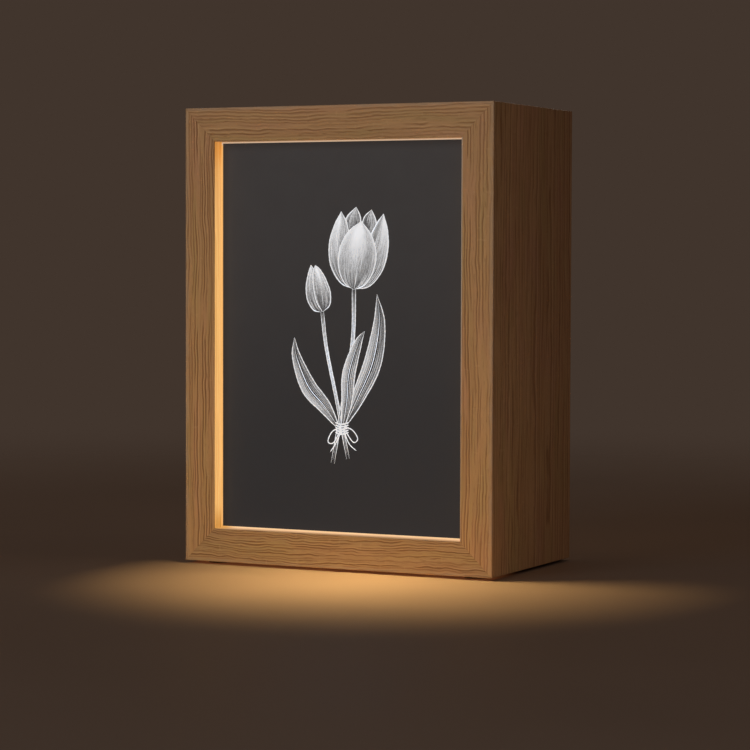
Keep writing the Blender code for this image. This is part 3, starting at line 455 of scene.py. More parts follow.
def plain(name, colour, rough, metal=0.0, grain=900.0, strength=0.15, depth=0.05 * MM, tint=0.12,
          spec=0.5, edge_wear_and_highlight=0.0, brushed=None):
    """Moulded, coated or metal finish: fine texture, slow tone, and edges lightened partly by rubbing and partly by a
    painted highlight.
    """
    t = Tree(name)
    if brushed:
        x, y, z = t.xyz()
        scale = {"X": (40, 1800, 1800), "Y": (1800, 40, 1800), "Z": (1800, 1800, 40)}[brushed]
        fine = t.noise(t.combine(t.times(x, scale[0]), t.times(y, scale[1]), t.times(z, scale[2])), 1.0, 3.0, 0.6)
    else:
        fine = t.noise(t.coords(), grain, 3.0, 0.6)
    slow = t.noise(t.coords(), 35.0, 3.0, 0.55)
    lighter = tuple(min(1.0, c * (1 + tint * 2) + 0.004) for c in colour[:3]) + (1.0,)
    darker = tuple(c * (1 - tint) for c in colour[:3]) + (1.0,)
    base = t.mix(t.smooth(slow, 0.3, 0.7), darker, lighter)
    base = t.mix(t.smooth(fine, 0.35, 0.65, 0.0, 0.35), base, darker)
    if edge_wear_and_highlight:
        # edges lightened partly by rubbing and partly by a painted highlight
        edge = t.times(t.edge_mask(0.4 * MM), edge_wear_and_highlight)
        base = t.mix(edge, base, tuple(min(1.0, c * 1.8 + 0.05) for c in colour[:3]) + (1.0,))
    t.set("Base Color", base)
    t.set("Roughness", t.smooth(slow, 0.3, 0.7, max(rough - 0.06, 0.05), rough + 0.06))
    t.shader.inputs["Metallic"].default_value = metal
    t.shader.inputs["Specular IOR Level"].default_value = spec
    t.set("Normal", t.bump(fine, strength, depth))
    return t.mat


def inlet():
    """Black moulding with a bright centre pin."""
    t = Tree("inlet_moulding")
    x, y, z = t.xyz()
    dx, dz = t.minus(x, -0.070), t.minus(z, 0.040)
    r = t.math("SQRT", t.plus(t.times(dx, dx), t.times(dz, dz)))
    bright = t.smooth(r, 1.30 * MM, 1.15 * MM)
    fine = t.noise(t.coords(), 1800.0, 3.0, 0.6)
    black = t.mix(t.smooth(fine, 0.35, 0.65), rgb(30, 30, 31), rgb(24, 24, 25))
    t.set("Base Color", t.mix(bright, black, rgb(186, 184, 178)))
    t.set("Metallic", bright)
    t.set("Roughness", t.mix(bright, (0.42, 0.42, 0.42, 1.0), (0.28, 0.28, 0.28, 1.0)))
    t.set("Normal", t.bump(fine, 0.15, 0.04 * MM))
    return t.mat


def screw_brass(name, axis, top):
    """Polished brass head whose cross recess is darkened by painted shade."""
    t = Tree(name)
    out = t.xyz()[axis]
    fine = t.noise(t.coords(), 2400.0, 3.0, 0.6)
    head = t.mix(t.smooth(fine, 0.3, 0.7), rgb(236, 204, 138), rgb(220, 186, 118))
    # painted highlight on the head's rim
    head = t.mix(t.times(t.edge_mask(0.25 * MM), 0.5), head, rgb(250, 226, 170))
    # painted shade: below the head's top the recess is darker, rougher and less metallic
    recess_shade = t.smooth(out, top - 0.12 * MM, top - 0.45 * MM)
    t.set("Base Color", t.mix(recess_shade, head, rgb(46, 34, 20)))
    t.set("Metallic", t.smooth(recess_shade, 0.0, 1.0, 0.75, 0.1))
    t.set("Roughness", t.smooth(recess_shade, 0.0, 1.0, 0.30, 0.70))
    t.set("Normal", t.bump(fine, 0.1, 0.03 * MM))
    return t.mat


# ================================================================ dress up
put(oak("oak_top", "X", 1, glow=True, lines=0.78, spacing=2.6 * MM, run=34.0, ripple=0.7), "frame_top")
put(oak("oak_bottom", "X", 2, glow=True, lines=1.3, spacing=1.95 * MM, run=34.0, ripple=1.0, pink=0.12,
        base=((160, 124, 79), (175, 140, 93), (166, 128, 86))), "frame_bottom")
put(oak("oak_left", "Z", 3, glow=True, lines=1.2, run=15.0), "frame_left")
put(oak("oak_right", "Z", 4, glow=True, lines=0.88, run=19.0), "frame_right")
put(film(), "picture_film")
put(bezel(), "glow_bezel")
put(plain("opal_acrylic", rgb(240, 238, 232), 0.35), "diffuser_sheet")
put(plain("white_powder_coat", rgb(226, 226, 222), 0.5, grain=1400, strength=0.3, tint=0.04), "light_tray")
put(plain("white_moulding", rgb(228, 226, 220), 0.45), "halo_housing")
put(plain("led_board", rgb(236, 232, 222), 0.4), *[n for n in nodes if "_strip_" in n])
put(oak("veneer_door", "Z", 8, spacing=4.2 * MM, lines=0.8, arches=(0.018, 0.02, 0.055, 0.3), ply=True,
        base=((170, 128, 86), (184, 144, 100), (164, 120, 78))), "rear_door")
put(oak("beech_batten", "X", 11, lines=0.3, base=((196, 156, 112), (206, 168, 124), (188, 148, 104)),
        line_rgb=(160, 118, 80)), "cross_batten")
put(plain("graphite_coat", rgb(50, 50, 52), 0.55, grain=2600, strength=0.5, depth=0.06 * MM), "control_plate")
put(plain("black_moulding", rgb(30, 30, 31), 0.42, grain=1800, edge_wear_and_highlight=0.25),
    "switch_housing", "dimmer_body", "dimmer_knob", "led_driver", "magnet_catch")
put(inlet(), "power_socket")
put(plain("black_rocker", rgb(26, 26, 27), 0.50, grain=1800, strength=0.08, spec=0.25, edge_wear_and_highlight=0.3), "switch_rocker")
put(plain("brushed_brass", rgb(212, 176, 108), 0.42, metal=0.8, brushed="Z", edge_wear_and_highlight=0.4),
    *[n for n in nodes if n.startswith("hinge_") and "_screw_" not in n])
put(screw_brass("brass_screws_door", 1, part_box("hinge_upper_door_screw_a")[1][1]),
    *[n for n in nodes if "_door_screw_" in n])
put(screw_brass("brass_screws_frame", 0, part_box("hinge_upper_frame_screw_a")[1][0]),
    *[n for n in nodes if "_frame_screw_" in n])
put(plain("zinc_steel", rgb(198, 198, 200), 0.42, metal=0.85, grain=2200, edge_wear_and_highlight=0.4),
    "dimmer_nut", "dimmer_spindle", "strike_plate",
    *[n for n in nodes if n.startswith(("tray_screw", "plate_screw"))])
put(plain("black_rubber", rgb(26, 26, 27), 0.85, grain=2500, strength=0.5, spec=0.2),
    *[n for n in nodes if n.startswith("foot_")])
put(plain("black_lead", rgb(22, 22, 23), 0.5), "lead_socket", "lead_switch", "lead_dimmer")
put(plain("white_lead", rgb(214, 212, 206), 0.5), "lead_backlight", "lead_halo")


# ============================================================ mitre joints
def mitre_seams():
    """Thin slips of oak-coloured glue that close the four mitre gaps, each just
    under the surface and shaped like the rail's section."""
    inset, half = 0.06 * MM, 0.085 * MM
    out_x, out_z = 0.125, 0.1685
    y0, y1, y2, y3 = Y_FACE + inset, -0.050, 0.054, Y_REAR - inset
    # (distance from the outer edge, depth) round the rail's section
    section = [(inset + 0.2 * MM, y0 + 0.3 * MM), (0.5 * MM, y0), (0.0243, y0), (0.025 - inset, y0 + 0.4 * MM),
               (0.025 - inset, y1 - inset), (0.014 - inset, y1 - inset), (0.014 - inset, y2 + inset),
               (0.0075 - inset, y2 + inset), (0.0075 - inset, y3), (0.5 * MM, y3), (inset + 0.2 * MM, y3 - 0.3 * MM)]
    bm = bmesh.new()
    for sx in (-1, 1):
        for sz in (-1, 1):
            sides = []
            for k in (-1, 1):
                ring = []
                for d, y in section:
                    # along the mitre's plane, then half the slip's thickness across it
                    px = sx * (out_x - d) + sx * k * half * 0.7071
                    pz = Z_MID + sz * (out_z - d) - sz * k * half * 0.7071
                    ring.append(bm.verts.new((px, y, pz)))
                sides.append(ring)
            n = len(section)
            bm.faces.new(sides[0])
            bm.faces.new(list(reversed(sides[1])))
            for i in range(n):
                j = (i + 1) % n
                bm.faces.new((sides[0][j], sides[0][i], sides[1][i], sides[1][j]))
    bmesh.ops.recalc_face_normals(bm, faces=bm.faces[:])
    mesh = bpy.data.meshes.new("mitre_seams")
    bm.to_mesh(mesh)
    bm.free()
    mesh.materials.append(plain("glue_line", rgb(158, 116, 74), 0.6, grain=1400, spec=0.3))
    obj = bpy.data.objects.new("mitre_seams", mesh)
    bpy.context.scene.collection.objects.link(obj)
    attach(obj, "box")


mitre_seams()


# ======================================================= small parts, rear
class Solids:
    """Collects small closed solids into one piece."""

    def __init__(self, name):
        self.name, self.bm = name, bmesh.new()

    def prism(self, outline, y0, y1, turn=None):
        """A flat outline of (x, z) metres, raised from y0 to y1."""
        low = [Vector((x, y0, z)) for x, z in outline]
        high = [Vector((x, y1, z)) for x, z in outline]
        if turn is not None:
            low, high = [turn @ v for v in low], [turn @ v for v in high]
        low, high = [self.bm.verts.new(v) for v in low], [self.bm.verts.new(v) for v in high]
        self.bm.faces.new(low)
        self.bm.faces.new(list(reversed(high)))
        for i in range(len(low)):
            j = (i + 1) % len(low)
            self.bm.faces.new((low[i], high[i], high[j], low[j]))

    def frustum(self, outline, y0, y1, inset, turn=None):
        """A prism whose raised face is drawn in by inset along each corner's way
        to the middle, which leaves a small bevel."""
        cx = sum(p[0] for p in outline) / len(outline)
        cz = sum(p[1] for p in outline) / len(outline)
        top = []
        for x, z in outline:
            d = math.hypot(x - cx, z - cz) or 1.0
            top.append((x - (x - cx) / d * inset, z - (z - cz) / d * inset))
        mid = y1 - (y1 - y0) * 0.4
        rings = []
        for ring, y in ((outline, y0), (outline, mid), (top, y1)):
            pts = [Vector((x, y, z)) for x, z in ring]
            if turn is not None:
                pts = [turn @ v for v in pts]
            rings.append([self.bm.verts.new(v) for v in pts])
        self.bm.faces.new(rings[0])
        self.bm.faces.new(list(reversed(rings[-1])))
        for a, b in zip(rings, rings[1:]):
            for i in range(len(a)):
                j = (i + 1) % len(a)
                self.bm.faces.new((a[i], b[i], b[j], a[j]))

    def ring(self, cx, cz, outer, inner, y0, y1, n=32, turn=None):
        loops = []
        for radius, y in ((outer, y0), (outer, y1), (inner, y1), (inner, y0)):
            pts = [Vector((cx + radius * math.cos(2 * math.pi * k / n), y, cz + radius * math.sin(2 * math.pi * k / n)))
                   for k in range(n)]
            if turn is not None:
                pts = [turn @ v for v in pts]
            loops.append([self.bm.verts.new(v) for v in pts])
        for q in range(4):
            a, b = loops[q], loops[(q + 1) % 4]
            for i in range(n):
                j = (i + 1) % n
                self.bm.faces.new((a[i], b[i], b[j], a[j]))

    def finish(self, mat, body, slot):
        bmesh.ops.recalc_face_normals(self.bm, faces=self.bm.faces[:])
        mesh = bpy.data.meshes.new(self.name)
        self.bm.to_mesh(mesh)
        self.bm.free()
        mesh.materials.append(mat)
        obj = bpy.data.objects.new(self.name, mesh)
        bpy.context.scene.collection.objects.link(obj)
        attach(obj, body)
        return obj


def circle(cx, cz, radius, n=20, start=0.0):
    return [(cx + radius * math.cos(start + 2 * math.pi * k / n), cz + radius * math.sin(start + 2 * math.pi * k / n))
            for k in range(n)]


def rounded(x0, z0, x1, z1, radius, n=5):
    out = []
    for cx, cz, a in ((x1 - radius, z1 - radius, 0), (x0 + radius, z1 - radius, 1),
                      (x0 + radius, z0 + radius, 2), (x1 - radius, z0 + radius, 3)):
        for k in range(n + 1):
            t = (a + k / n) * math.pi / 2
            out.append((cx + radius * math.cos(t), cz + radius * math.sin(t)))
    return out


def rear_details():
    y_plate = 0.0563
    print_white = plain("white_marking", rgb(216, 216, 212), 0.6, grain=2600)
    # brightness scale: dots that grow round the knob
    marks = Solids("dimmer_scale")
    for k in range(11):
        a = math.radians(225 - 27 * k)          # seen from behind, clockwise
        marks.prism(circle(0.070 - 0.0128 * math.cos(a), 0.040 + 0.0128 * math.sin(a), (0.32 + 0.055 * k) * MM, 16),
                    y_plate - 0.02 * MM, y_plate + 0.06 * MM)
    marks.finish(print_white, "box", "white_plastic")
    # a ring round the inlet
    halo = Solids("inlet_ring")
    halo.ring(-0.070, 0.040, 9.2 * MM, 8.7 * MM, y_plate - 0.02 * MM, y_plate + 0.06 * MM, 40)
    halo.finish(print_white, "box", "white_plastic")
    # pointer line on the knob
    pointer = Solids("knob_pointer")
    pointer.prism(rounded(0.0696, 0.0432, 0.0704, 0.0475, 0.25 * MM, 3), 0.0716 - 0.03 * MM, 0.0716 + 0.06 * MM)
    pointer.finish(print_white, "dimmer", "white_plastic")
    cap = Solids("knob_cap_ring")
    cap.ring(0.070, 0.040, 7.4 * MM, 7.0 * MM, 0.0716 - 0.03 * MM, 0.0716 + 0.10 * MM, 48)
    cap.finish(plain("knob_metal_ring", rgb(176, 176, 178), 0.3, metal=1.0, grain=2000), "dimmer", "steel")

    # on and off marks on the rocker's two sloping halves
    tilt = Matrix.Translation((0, 0.056, 0.040)) @ Matrix.Rotation(math.radians(10), 4, "X")
    on_off = Solids("rocker_marks")
    for sign in (1, -1):
        slope = -math.atan2(1.4, 7.4) * sign
        # the half's own frame: its middle is 3.7 mm out, 3.3 mm up
        local = tilt @ Matrix.Translation((0, 3.3 * MM, sign * 3.9 * MM)) @ Matrix.Rotation(slope, 4, "X")
        if sign > 0:
            on_off.prism([(-0.22 * MM, -1.2 * MM), (0.22 * MM, -1.2 * MM), (0.22 * MM, 1.2 * MM), (-0.22 * MM, 1.2 * MM)],
                         -0.05 * MM, 0.11 * MM, local)
        else:
            on_off.ring(0, 0, 1.25 * MM, 0.85 * MM, -0.05 * MM, 0.11 * MM, 28, local)
    on_off.finish(print_white, "rocker", "white_plastic")

    # driver: lid with its screws, side ribs, and a raised blank panel
    black = plain("driver_lid", rgb(38, 38, 40), 0.5, grain=1900, strength=0.35)
    lid = Solids("driver_lid")
    lid.frustum(rounded(-0.0420, 0.1032, 0.0420, 0.1368, 2.0 * MM), 0.0381, 0.0390, 0.4 * MM)
    lid.frustum(rounded(-0.0240, 0.1085, 0.0240, 0.1315, 1.0 * MM), 0.0389, 0.0393, 0.2 * MM)
    for side in (-1, 1):
        for k in range(5):
            x = side * (0.0272 + 0.0026 * k)
            lid.frustum(rounded(x - 0.55 * MM, 0.1085, x + 0.55 * MM, 0.1315, 0.5 * MM, 3), 0.0389, 0.0395, 0.25 * MM)
    lid.finish(black, "box", "black_plastic")
    zinc = plain("lid_screws", rgb(150, 150, 152), 0.32, metal=1.0, grain=2200, edge_wear_and_highlight=0.3)
    heads = Solids("driver_lid_screws")
    for x in (-0.0392, 0.0392):
        for z in (0.1060, 0.1340):
            heads.ring(x, z, 1.5 * MM, 0.55 * MM, 0.0389, 0.0397, 20)
            heads.prism(circle(x, z, 0.58 * MM, 6), 0.0389, 0.0393)
    heads.finish(zinc, "box", "steel")
    sleeves = Solids("lead_grommets")
    for x, z in ((-0.030, 0.0990), (0.0, 0.0990), (0.030, 0.0990), (-0.025, 0.1410), (0.025, 0.1410)):
        up = Matrix.Translation((x, 0.030, z)) @ Matrix.Rotation(math.radians(90), 4, "X")
        sleeves.ring(0, 0, 2.0 * MM, 1.12 * MM, -1.2 * MM, 1.2 * MM, 20, up)
    sleeves.finish(plain("grommet_rubber", rgb(30, 30, 31), 0.7, grain=2400), "box", "rubber")

    # pressed beads that stiffen the tray's back
    beads = Solids("tray_beads")
    y_back = 0.0200
    def bead(x0, z0, x1, z1, half=2.2 * MM):
        dx, dz = x1 - x0, z1 - z0
        size = math.hypot(dx, dz)
        ux, uz = dx / size, dz / size
        outline = []
        base = math.atan2(uz, ux)
        for k in range(9):
            a = base + math.pi / 2 + math.pi * k / 8
            outline.append((x0 + half * math.cos(a), z0 + half * math.sin(a)))
        for k in range(9):
            a = base - math.pi / 2 + math.pi * k / 8
            outline.append((x1 + half * math.cos(a), z1 + half * math.sin(a)))
        beads.frustum(outline, y_back - 0.10 * MM, y_back + 0.9 * MM, 0.9 * MM)
    for x in (-0.084, -0.060, 0.060, 0.084):
        bead(x, 0.090, x, 0.150)
        bead(x, 0.196 if x < 0 else 0.204, x, 0.246 if x > 0 else 0.292)
    for z in (0.052, 0.066):
        bead(-0.050, z - 0.014, 0.050, z - 0.014)
    for z in (0.226, 0.250, 0.274):
        bead(-0.040, z, 0.030, z)
    beads.finish(plain("white_powder_beads", rgb(226, 226, 222), 0.5, grain=1400, strength=0.3, tint=0.04), "box", "white_metal")

    # steel poles on the magnet catch
    poles = Solids("catch_poles")
    for z in (0.1925, 0.2045):
        poles.prism([(0.1007, z), (0.1087, z), (0.1087, z + 3.0 * MM), (0.1007, z + 3.0 * MM)], 0.0528, 0.0532)
    poles.finish(plain("pole_steel", rgb(120, 120, 124), 0.3, metal=1.0, grain=2000), "box", "steel")


rear_details()


# ============================================================= the drawing
class Drawing:
    """Chalk marks and smudged tone in thin layers on the print.  Places are in
    millimetres from the panel's middle; layer 0 lies on the print."""

    def __init__(self, name, scale=1.0, shift=(0.0, 0.0), seed=5):
        self.name, self.scale, self.shift = name, scale, shift
        self.bm = bmesh.new()
        self.tone = self.bm.verts.layers.float_vector.new("tone")
        self.rng = random.Random(seed)

    def vert(self, p, layer, lift, tone):
        x = (p[0] * self.scale + self.shift[0]) * MM
        z = (p[1] * self.scale + self.shift[1]) * MM + Z_MID
        v = self.bm.verts.new((x, Y_FILM - (0.03 + 0.03 * layer + lift) * MM, z))
        v[self.tone] = tone
        return v

    def stroke(self, points, width=0.8, white=0.9, layer=0, taper=(0.25, 0.25), rough=0.12, step=1.1):
        path = resample(points, step)
        if len(path) < 3:
            return
        total, rings = len(path) - 1, []
        wobble = self.rng.random() * 50
        for i, p in enumerate(path):
            a, b = path[max(i - 1, 0)], path[min(i + 1, total)]
            d = Vector((b[0] - a[0], b[1] - a[1]))
            if d.length < 1e-9:
                d = Vector((1, 0))
            d.normalize()
            n = Vector((-d.y, d.x))
            s = i / total
            w = width / 2
            if taper[0]:
                w *= min(1.0, (s / taper[0]) * 0.85 + 0.15)
            if taper[1]:
                w *= min(1.0, ((1 - s) / taper[1]) * 0.85 + 0.15)
            w *= 1 + rough * math.sin(wobble + i * 1.7) + rough * (self.rng.random() - 0.5)
            drift = n * (rough * 0.35 * width * math.sin(wobble * 1.3 + i * 0.6))
            c = Vector(p) + drift
            left, right = c + n * w, c - n * w
            along = i * step / 10.0 + wobble
            rings.append((self.vert(left, layer, 0.010, (white, -1.0, along)),
                          self.vert(right, layer, 0.010, (white, 1.0, along)),
                          self.vert(c, layer, 0.0, (white, 0.0, along))))
        for (a0, a1, a2), (b0, b1, b2) in zip(rings, rings[1:]):
            self.bm.faces.new((a0, b0, b1, a1))
            self.bm.faces.new((a1, b1, b2, a2))
            self.bm.faces.new((a2, b2, b0, a0))
        self.bm.faces.new(rings[0])
        self.bm.faces.new(tuple(reversed(rings[-1])))

    def patch(self, surface, shade, layer=0, nu=12, nv=28):
        """A closed thin plate over surface(s, t), s and t from 0 to 1; shade(s, t)
        says how white it is."""
        front, back = [], []
        along = self.rng.random() * 50
        for j in range(nv + 1):
            t = j / nv
            row, low = [], []
            for i in range(nu + 1):
                s = i / nu
                p = surface(s, t)
                tone = (shade(s, t), (s * 2 - 1) * 0.7, along + t * 6)
                row.append(self.vert(p, layer, 0.010, tone))
                low.append(self.vert(p, layer, 0.0, tone))
            front.append(row)
            back.append(low)
        for j in range(nv):
            for i in range(nu):
                self.bm.faces.new((front[j][i], front[j + 1][i], front[j + 1][i + 1], front[j][i + 1]))
                self.bm.faces.new((back[j][i], back[j][i + 1], back[j + 1][i + 1], back[j + 1][i]))
        for j in range(nv):
            self.bm.faces.new((front[j][0], back[j][0], back[j + 1][0], front[j + 1][0]))
            self.bm.faces.new((front[j][nu], front[j + 1][nu], back[j + 1][nu], back[j][nu]))
        for i in range(nu):
            self.bm.faces.new((front[0][i], front[0][i + 1], back[0][i + 1], back[0][i]))
            self.bm.faces.new((front[nv][i], back[nv][i], back[nv][i + 1], front[nv][i + 1]))

    def finish(self, mat, body):
        bmesh.ops.remove_doubles(self.bm, verts=self.bm.verts[:], dist=1e-7)
        bmesh.ops.dissolve_degenerate(self.bm, edges=self.bm.edges[:], dist=1e-8)
        bmesh.ops.recalc_face_normals(self.bm, faces=self.bm.faces[:])
        mesh = bpy.data.meshes.new(self.name)
        self.bm.to_mesh(mesh)
        self.bm.free()
        mesh.materials.append(mat)
        obj = bpy.data.objects.new(self.name, mesh)
        bpy.context.scene.collection.objects.link(obj)
        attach(obj, body)
        return obj


def spline(points, s):
    """A smooth curve through the points, read at s from 0 to 1."""
    n = len(points) - 1
    u = min(max(s, 0.0), 1.0) * n
    i = min(int(u), n - 1)
    f = u - i
    p1, p2 = points[i], points[i + 1]
    p0 = points[i - 1] if i else tuple(2 * a - b for a, b in zip(p1, p2))
    p3 = points[i + 2] if i + 2 <= n else tuple(2 * b - a for a, b in zip(p1, p2))
    return tuple(0.5 * (2 * b + (c - a) * f + (2 * a - 5 * b + 4 * c - d) * f * f
                        + (3 * b - a - 3 * c + d) * f ** 3) for a, b, c, d in zip(p0, p1, p2, p3))


def resample(points, step):
    fine = [spline(points, k / (len(points) * 12)) for k in range(len(points) * 12 + 1)] if len(points) > 2 \
        else [tuple(a + (b - a) * k / 24 for a, b in zip(*points)) for k in range(25)]
    total = sum(math.dist(a, b) for a, b in zip(fine, fine[1:]))
    count = max(2, round(total / step))
    out, walked, i = [fine[0]], 0.0, 0
    for k in range(1, count):
        goal = total * k / count
        while i < len(fine) - 2 and walked + math.dist(fine[i], fine[i + 1]) < goal:
            walked += math.dist(fine[i], fine[i + 1])
            i += 1
        gap = math.dist(fine[i], fine[i + 1]) or 1.0
        f = (goal - walked) / gap
        out.append(tuple(a + (b - a) * f for a, b in zip(fine[i], fine[i + 1])))
    out.append(fine[-1])
    return out


def between(left, right):
    """The surface between two edge curves that share their ends."""
    def at(s, t):
        a, b = spline(left, t), spline(right, t)
        return tuple(u + (v - u) * s for u, v in zip(a, b))
    return at


def turned(points, degrees, size, place):
    a = math.radians(degrees)
    c, s = math.cos(a) * size, math.sin(a) * size
    return [(place[0] + x * c - z * s, place[1] + x * s + z * c) for x, z in points]


def petal(d, left, right, layer, white=(0.15, 0.8), lean=0.5, marks=22, outline=0.85, gather=0.0):
    """One petal: smudged tone, fine marks that follow it, and its outline."""
    surface = between(left, right)

    def shade(s, t):
        ridge = math.exp(-((s - lean) / 0.30) ** 2)
        rise = min(1.0, max(0.0, (t - 0.10) / 0.75)) ** 1.3
        rim = math.exp(-(min(s, 1 - s) / 0.09) ** 2) * 0.30
        return white[0] + (white[1] - white[0]) * rise * (0.35 + 0.65 * ridge) + rim * (0.3 + 0.7 * t)

    d.patch(surface, shade, layer)
    rng = d.rng
    for k in range(marks):
        s = (k + 0.2 + 0.6 * rng.random()) / marks
        low = rng.uniform(0.02, 0.16) if rng.random() < 0.6 else rng.uniform(0.35, 0.6)
        high = low + rng.uniform(0.22, 0.55)
        high = min(high, 0.95)
        squeeze = 1.0 - gather
        path = [surface(0.5 + (s - 0.5) * (squeeze + gather * (low + (high - low) * q / 6)), low + (high - low) * q / 6)
                for q in range(7)]
        d.stroke(path, rng.uniform(0.28, 0.46), rng.uniform(0.55, 0.95), layer + 1, (0.3, 0.5))
    for edge in (left, right):
        d.stroke([spline(edge, q / 16) for q in range(17)], outline, 0.97, layer + 1, (0.12, 0.10), 0.16)


def bloom(d, place, degrees, size, layer, marks=1.0):
    """A half-open tulip, seen from the side."""
    def t(points):
        return turned(points, degrees, size, place)
    n = lambda k: max(6, int(k * marks))
    petal(d, t([(-11, 26), (-15, 42), (-13, 56), (-5, 66)]), t([(0, 26), (1, 44), (0, 57), (-5, 66)]), layer,
          (0.05, 0.55), 0.4, n(12))
    petal(d, t([(0, 26), (1, 44), (3, 58), (9, 65)]), t([(12, 26), (15, 43), (14, 56), (9, 65)]), layer + 2,
          (0.05, 0.50), 0.6, n(12))
    petal(d, t([(-1, 0), (-13, 4), (-23, 17), (-26, 34), (-23, 49), (-18, 61)]),
          t([(-1, 0), (-3, 10), (-6, 24), (-8, 39), (-12, 52), (-18, 61)]), layer + 4, (0.12, 0.85), 0.30, n(20))
    petal(d, t([(1, 0), (3, 10), (6, 24), (9, 40), (14, 53), (20, 63)]),
          t([(1, 0), (14, 4), (24, 18), (27, 35), (25, 50), (20, 63)]), layer + 6, (0.12, 0.80), 0.72, n(20))
    petal(d, t([(0, -0.5), (-9, 4), (-15.5, 16), (-16, 31), (-10, 45), (1, 55)]),
          t([(0, -0.5), (9, 4), (15.5, 15), (17, 30), (11.5, 44), (1, 55)]), layer + 8, (0.18, 0.98), 0.42, n(26))
    return layer + 10


def bud(d, place, degrees, size, layer):
    def t(points):
        return turned(points, degrees, size, place)
    petal(d, t([(-1, 0), (-12, 6), (-17, 22), (-14, 40), (-6, 56), (-1, 64)]),
          t([(-1, 0), (2, 12), (3, 26), (3, 42), (2, 55), (-1, 64)]), layer, (0.12, 0.75), 0.35, 12)
    petal(d, t([(1, 0), (-4, 12), (-5, 26), (-3, 42), (0, 54), (5, 62)]),
          t([(1, 0), (13, 6), (18, 21), (16, 39), (11, 54), (5, 62)]), layer + 2, (0.15, 0.92), 0.55, 14)
    return layer + 4


def leaf(d, spine, widths, layer, white=(0.05, 0.42), veins=9, outline=0.8, fold=0.12):
    """A long leaf round its spine; widths are half widths along it."""
    def edge(sign):
        pts = []
        for q in range(21):
            t = q / 20
            p, e = spline(spine, max(t - 0.02, 0)), spline(spine, min(t + 0.02, 1))
            n = Vector((-(e[1] - p[1]), e[0] - p[0])).normalized()
            w = spline([(v,) for v in widths], t)[0]
            c = spline(spine, t)
            pts.append((c[0] + n.x * w * sign, c[1] + n.y * w * sign))
        return pts
    left, right = edge(1), edge(-1)
    surface = between(left, right)

    def shade(s, t):
        side = 1.0 if s < 0.5 else 0.45
        crease = math.exp(-((s - 0.5) / fold) ** 2)
        ends = math.sin(math.pi * min(max(t, 0.02), 0.98)) ** 0.5
        return white[0] + (white[1] - white[0]) * side * (0.35 + 0.65 * abs(math.cos(s * math.pi))) * ends - 0.15 * crease

    d.patch(surface, shade, layer, nu=10, nv=30)
    rng = d.rng
    for k in range(veins):
        s = (k + 0.5) / veins + rng.uniform(-0.02, 0.02)
        a = rng.uniform(0.03, 0.25)
        b = rng.uniform(0.55, 0.93)
        d.stroke([surface(s, a + (b - a) * q / 12) for q in range(13)], rng.uniform(0.26, 0.40),
                 rng.uniform(0.5, 0.9), layer + 1, (0.25, 0.45))
        if rng.random() < 0.75:
            a = rng.uniform(0.1, 0.7)
            d.stroke([surface(s + 0.03, a + 0.2 * q / 6) for q in range(7)], 0.26, 0.7, layer + 1, (0.4, 0.4))
    d.stroke([surface(0.5, 0.02 + 0.96 * q / 16) for q in range(17)], 0.55, 0.9, layer + 1, (0.1, 0.3))
    for side in (left, right):
        d.stroke(side, outline, 0.97, layer + 1, (0.06, 0.12), 0.16)


def stem(d, spine, thick, layer):
    leaf(d, spine, [thick * 0.5, thick * 0.45, thick * 0.45, thick * 0.5], layer, (0.02, 0.30), veins=3, outline=0.7)


def draw_tulips():
    d = Drawing("printed_drawing", 0.90, (1.0, 12.0))
    # stems, behind everything else
    stem(d, [(-19, 8), (-15, -22), (-6, -62), (5, -112)], 2.6, 0)
    stem(d, [(10, 28), (9, -15), (1, -62), (-9, -116)], 3.0, 2)
    layer = bud(d, (-19, 7), 14, 0.62, 4)
    layer = bloom(d, (10, 26), -6, 1.0, layer)
    # leaves wrap the stems
    leaf(d, [(3, -84), (14, -62), (27, -34), (33, -2), (31, 22)], [1.2, 5.5, 7.5, 5.0, 0.0], layer, (0.06, 0.50))
    leaf(d, [(-4, -86), (-16, -70), (-31, -54), (-42, -30), (-44, -14)], [1.2, 5.5, 6.8, 3.8, 0.0], layer + 2, (0.06, 0.46))
    leaf(d, [(0, -88), (4, -66), (6, -42), (14, -18), (20, -8)], [1.2, 4.5, 5.6, 3.2, 0.0], layer + 4, (0.06, 0.55), veins=7)
    # the tie
    layer += 6
    for k in range(5):
        z = -91 + k * 2.0
        d.stroke([(-6.4, z + 0.6), (-2.5, z - 0.7), (2.0, z - 0.5), (6.0, z + 0.9)], 1.25, 0.92, layer + (k % 2), (0.1, 0.1))
    for path in ([(-1, -86), (-9, -90), (-13, -98), (-8, -99), (-1, -88)], [(1, -86), (9, -88), (14, -95), (10, -98), (2, -88)],
                 [(0, -87), (-5, -98), (-11, -107)], [(1, -87), (6, -99), (13, -105)]):
        d.stroke(path, 0.95, 0.95, layer + 2, (0.08, 0.12), 0.15)
    return d.finish(chalk(), "box")


draw_tulips()


# ================================================================== stage
def area_light(name, place, look_at, size, power, colour, size_y=None, spread=180.0, seen=False):
    data = bpy.data.lights.new(name, "AREA")
    data.energy = power
    data.color = colour
    data.shape = "RECTANGLE"
    data.size = size
    data.size_y = size_y or size
    data.spread = math.radians(spread)
    obj = bpy.data.objects.new(name, data)
    bpy.context.scene.collection.objects.link(obj)
    direction = (Vector(look_at) - Vector(place)).normalized()
    obj.matrix_world = Matrix.Translation(place) @ direction.to_track_quat("-Z", "Y").to_matrix().to_4x4()
    obj.visible_camera = seen
    return obj


ROOM = (0.0530, 0.0356, 0.0262, 1.0)    # the plain warm-grey surroundings


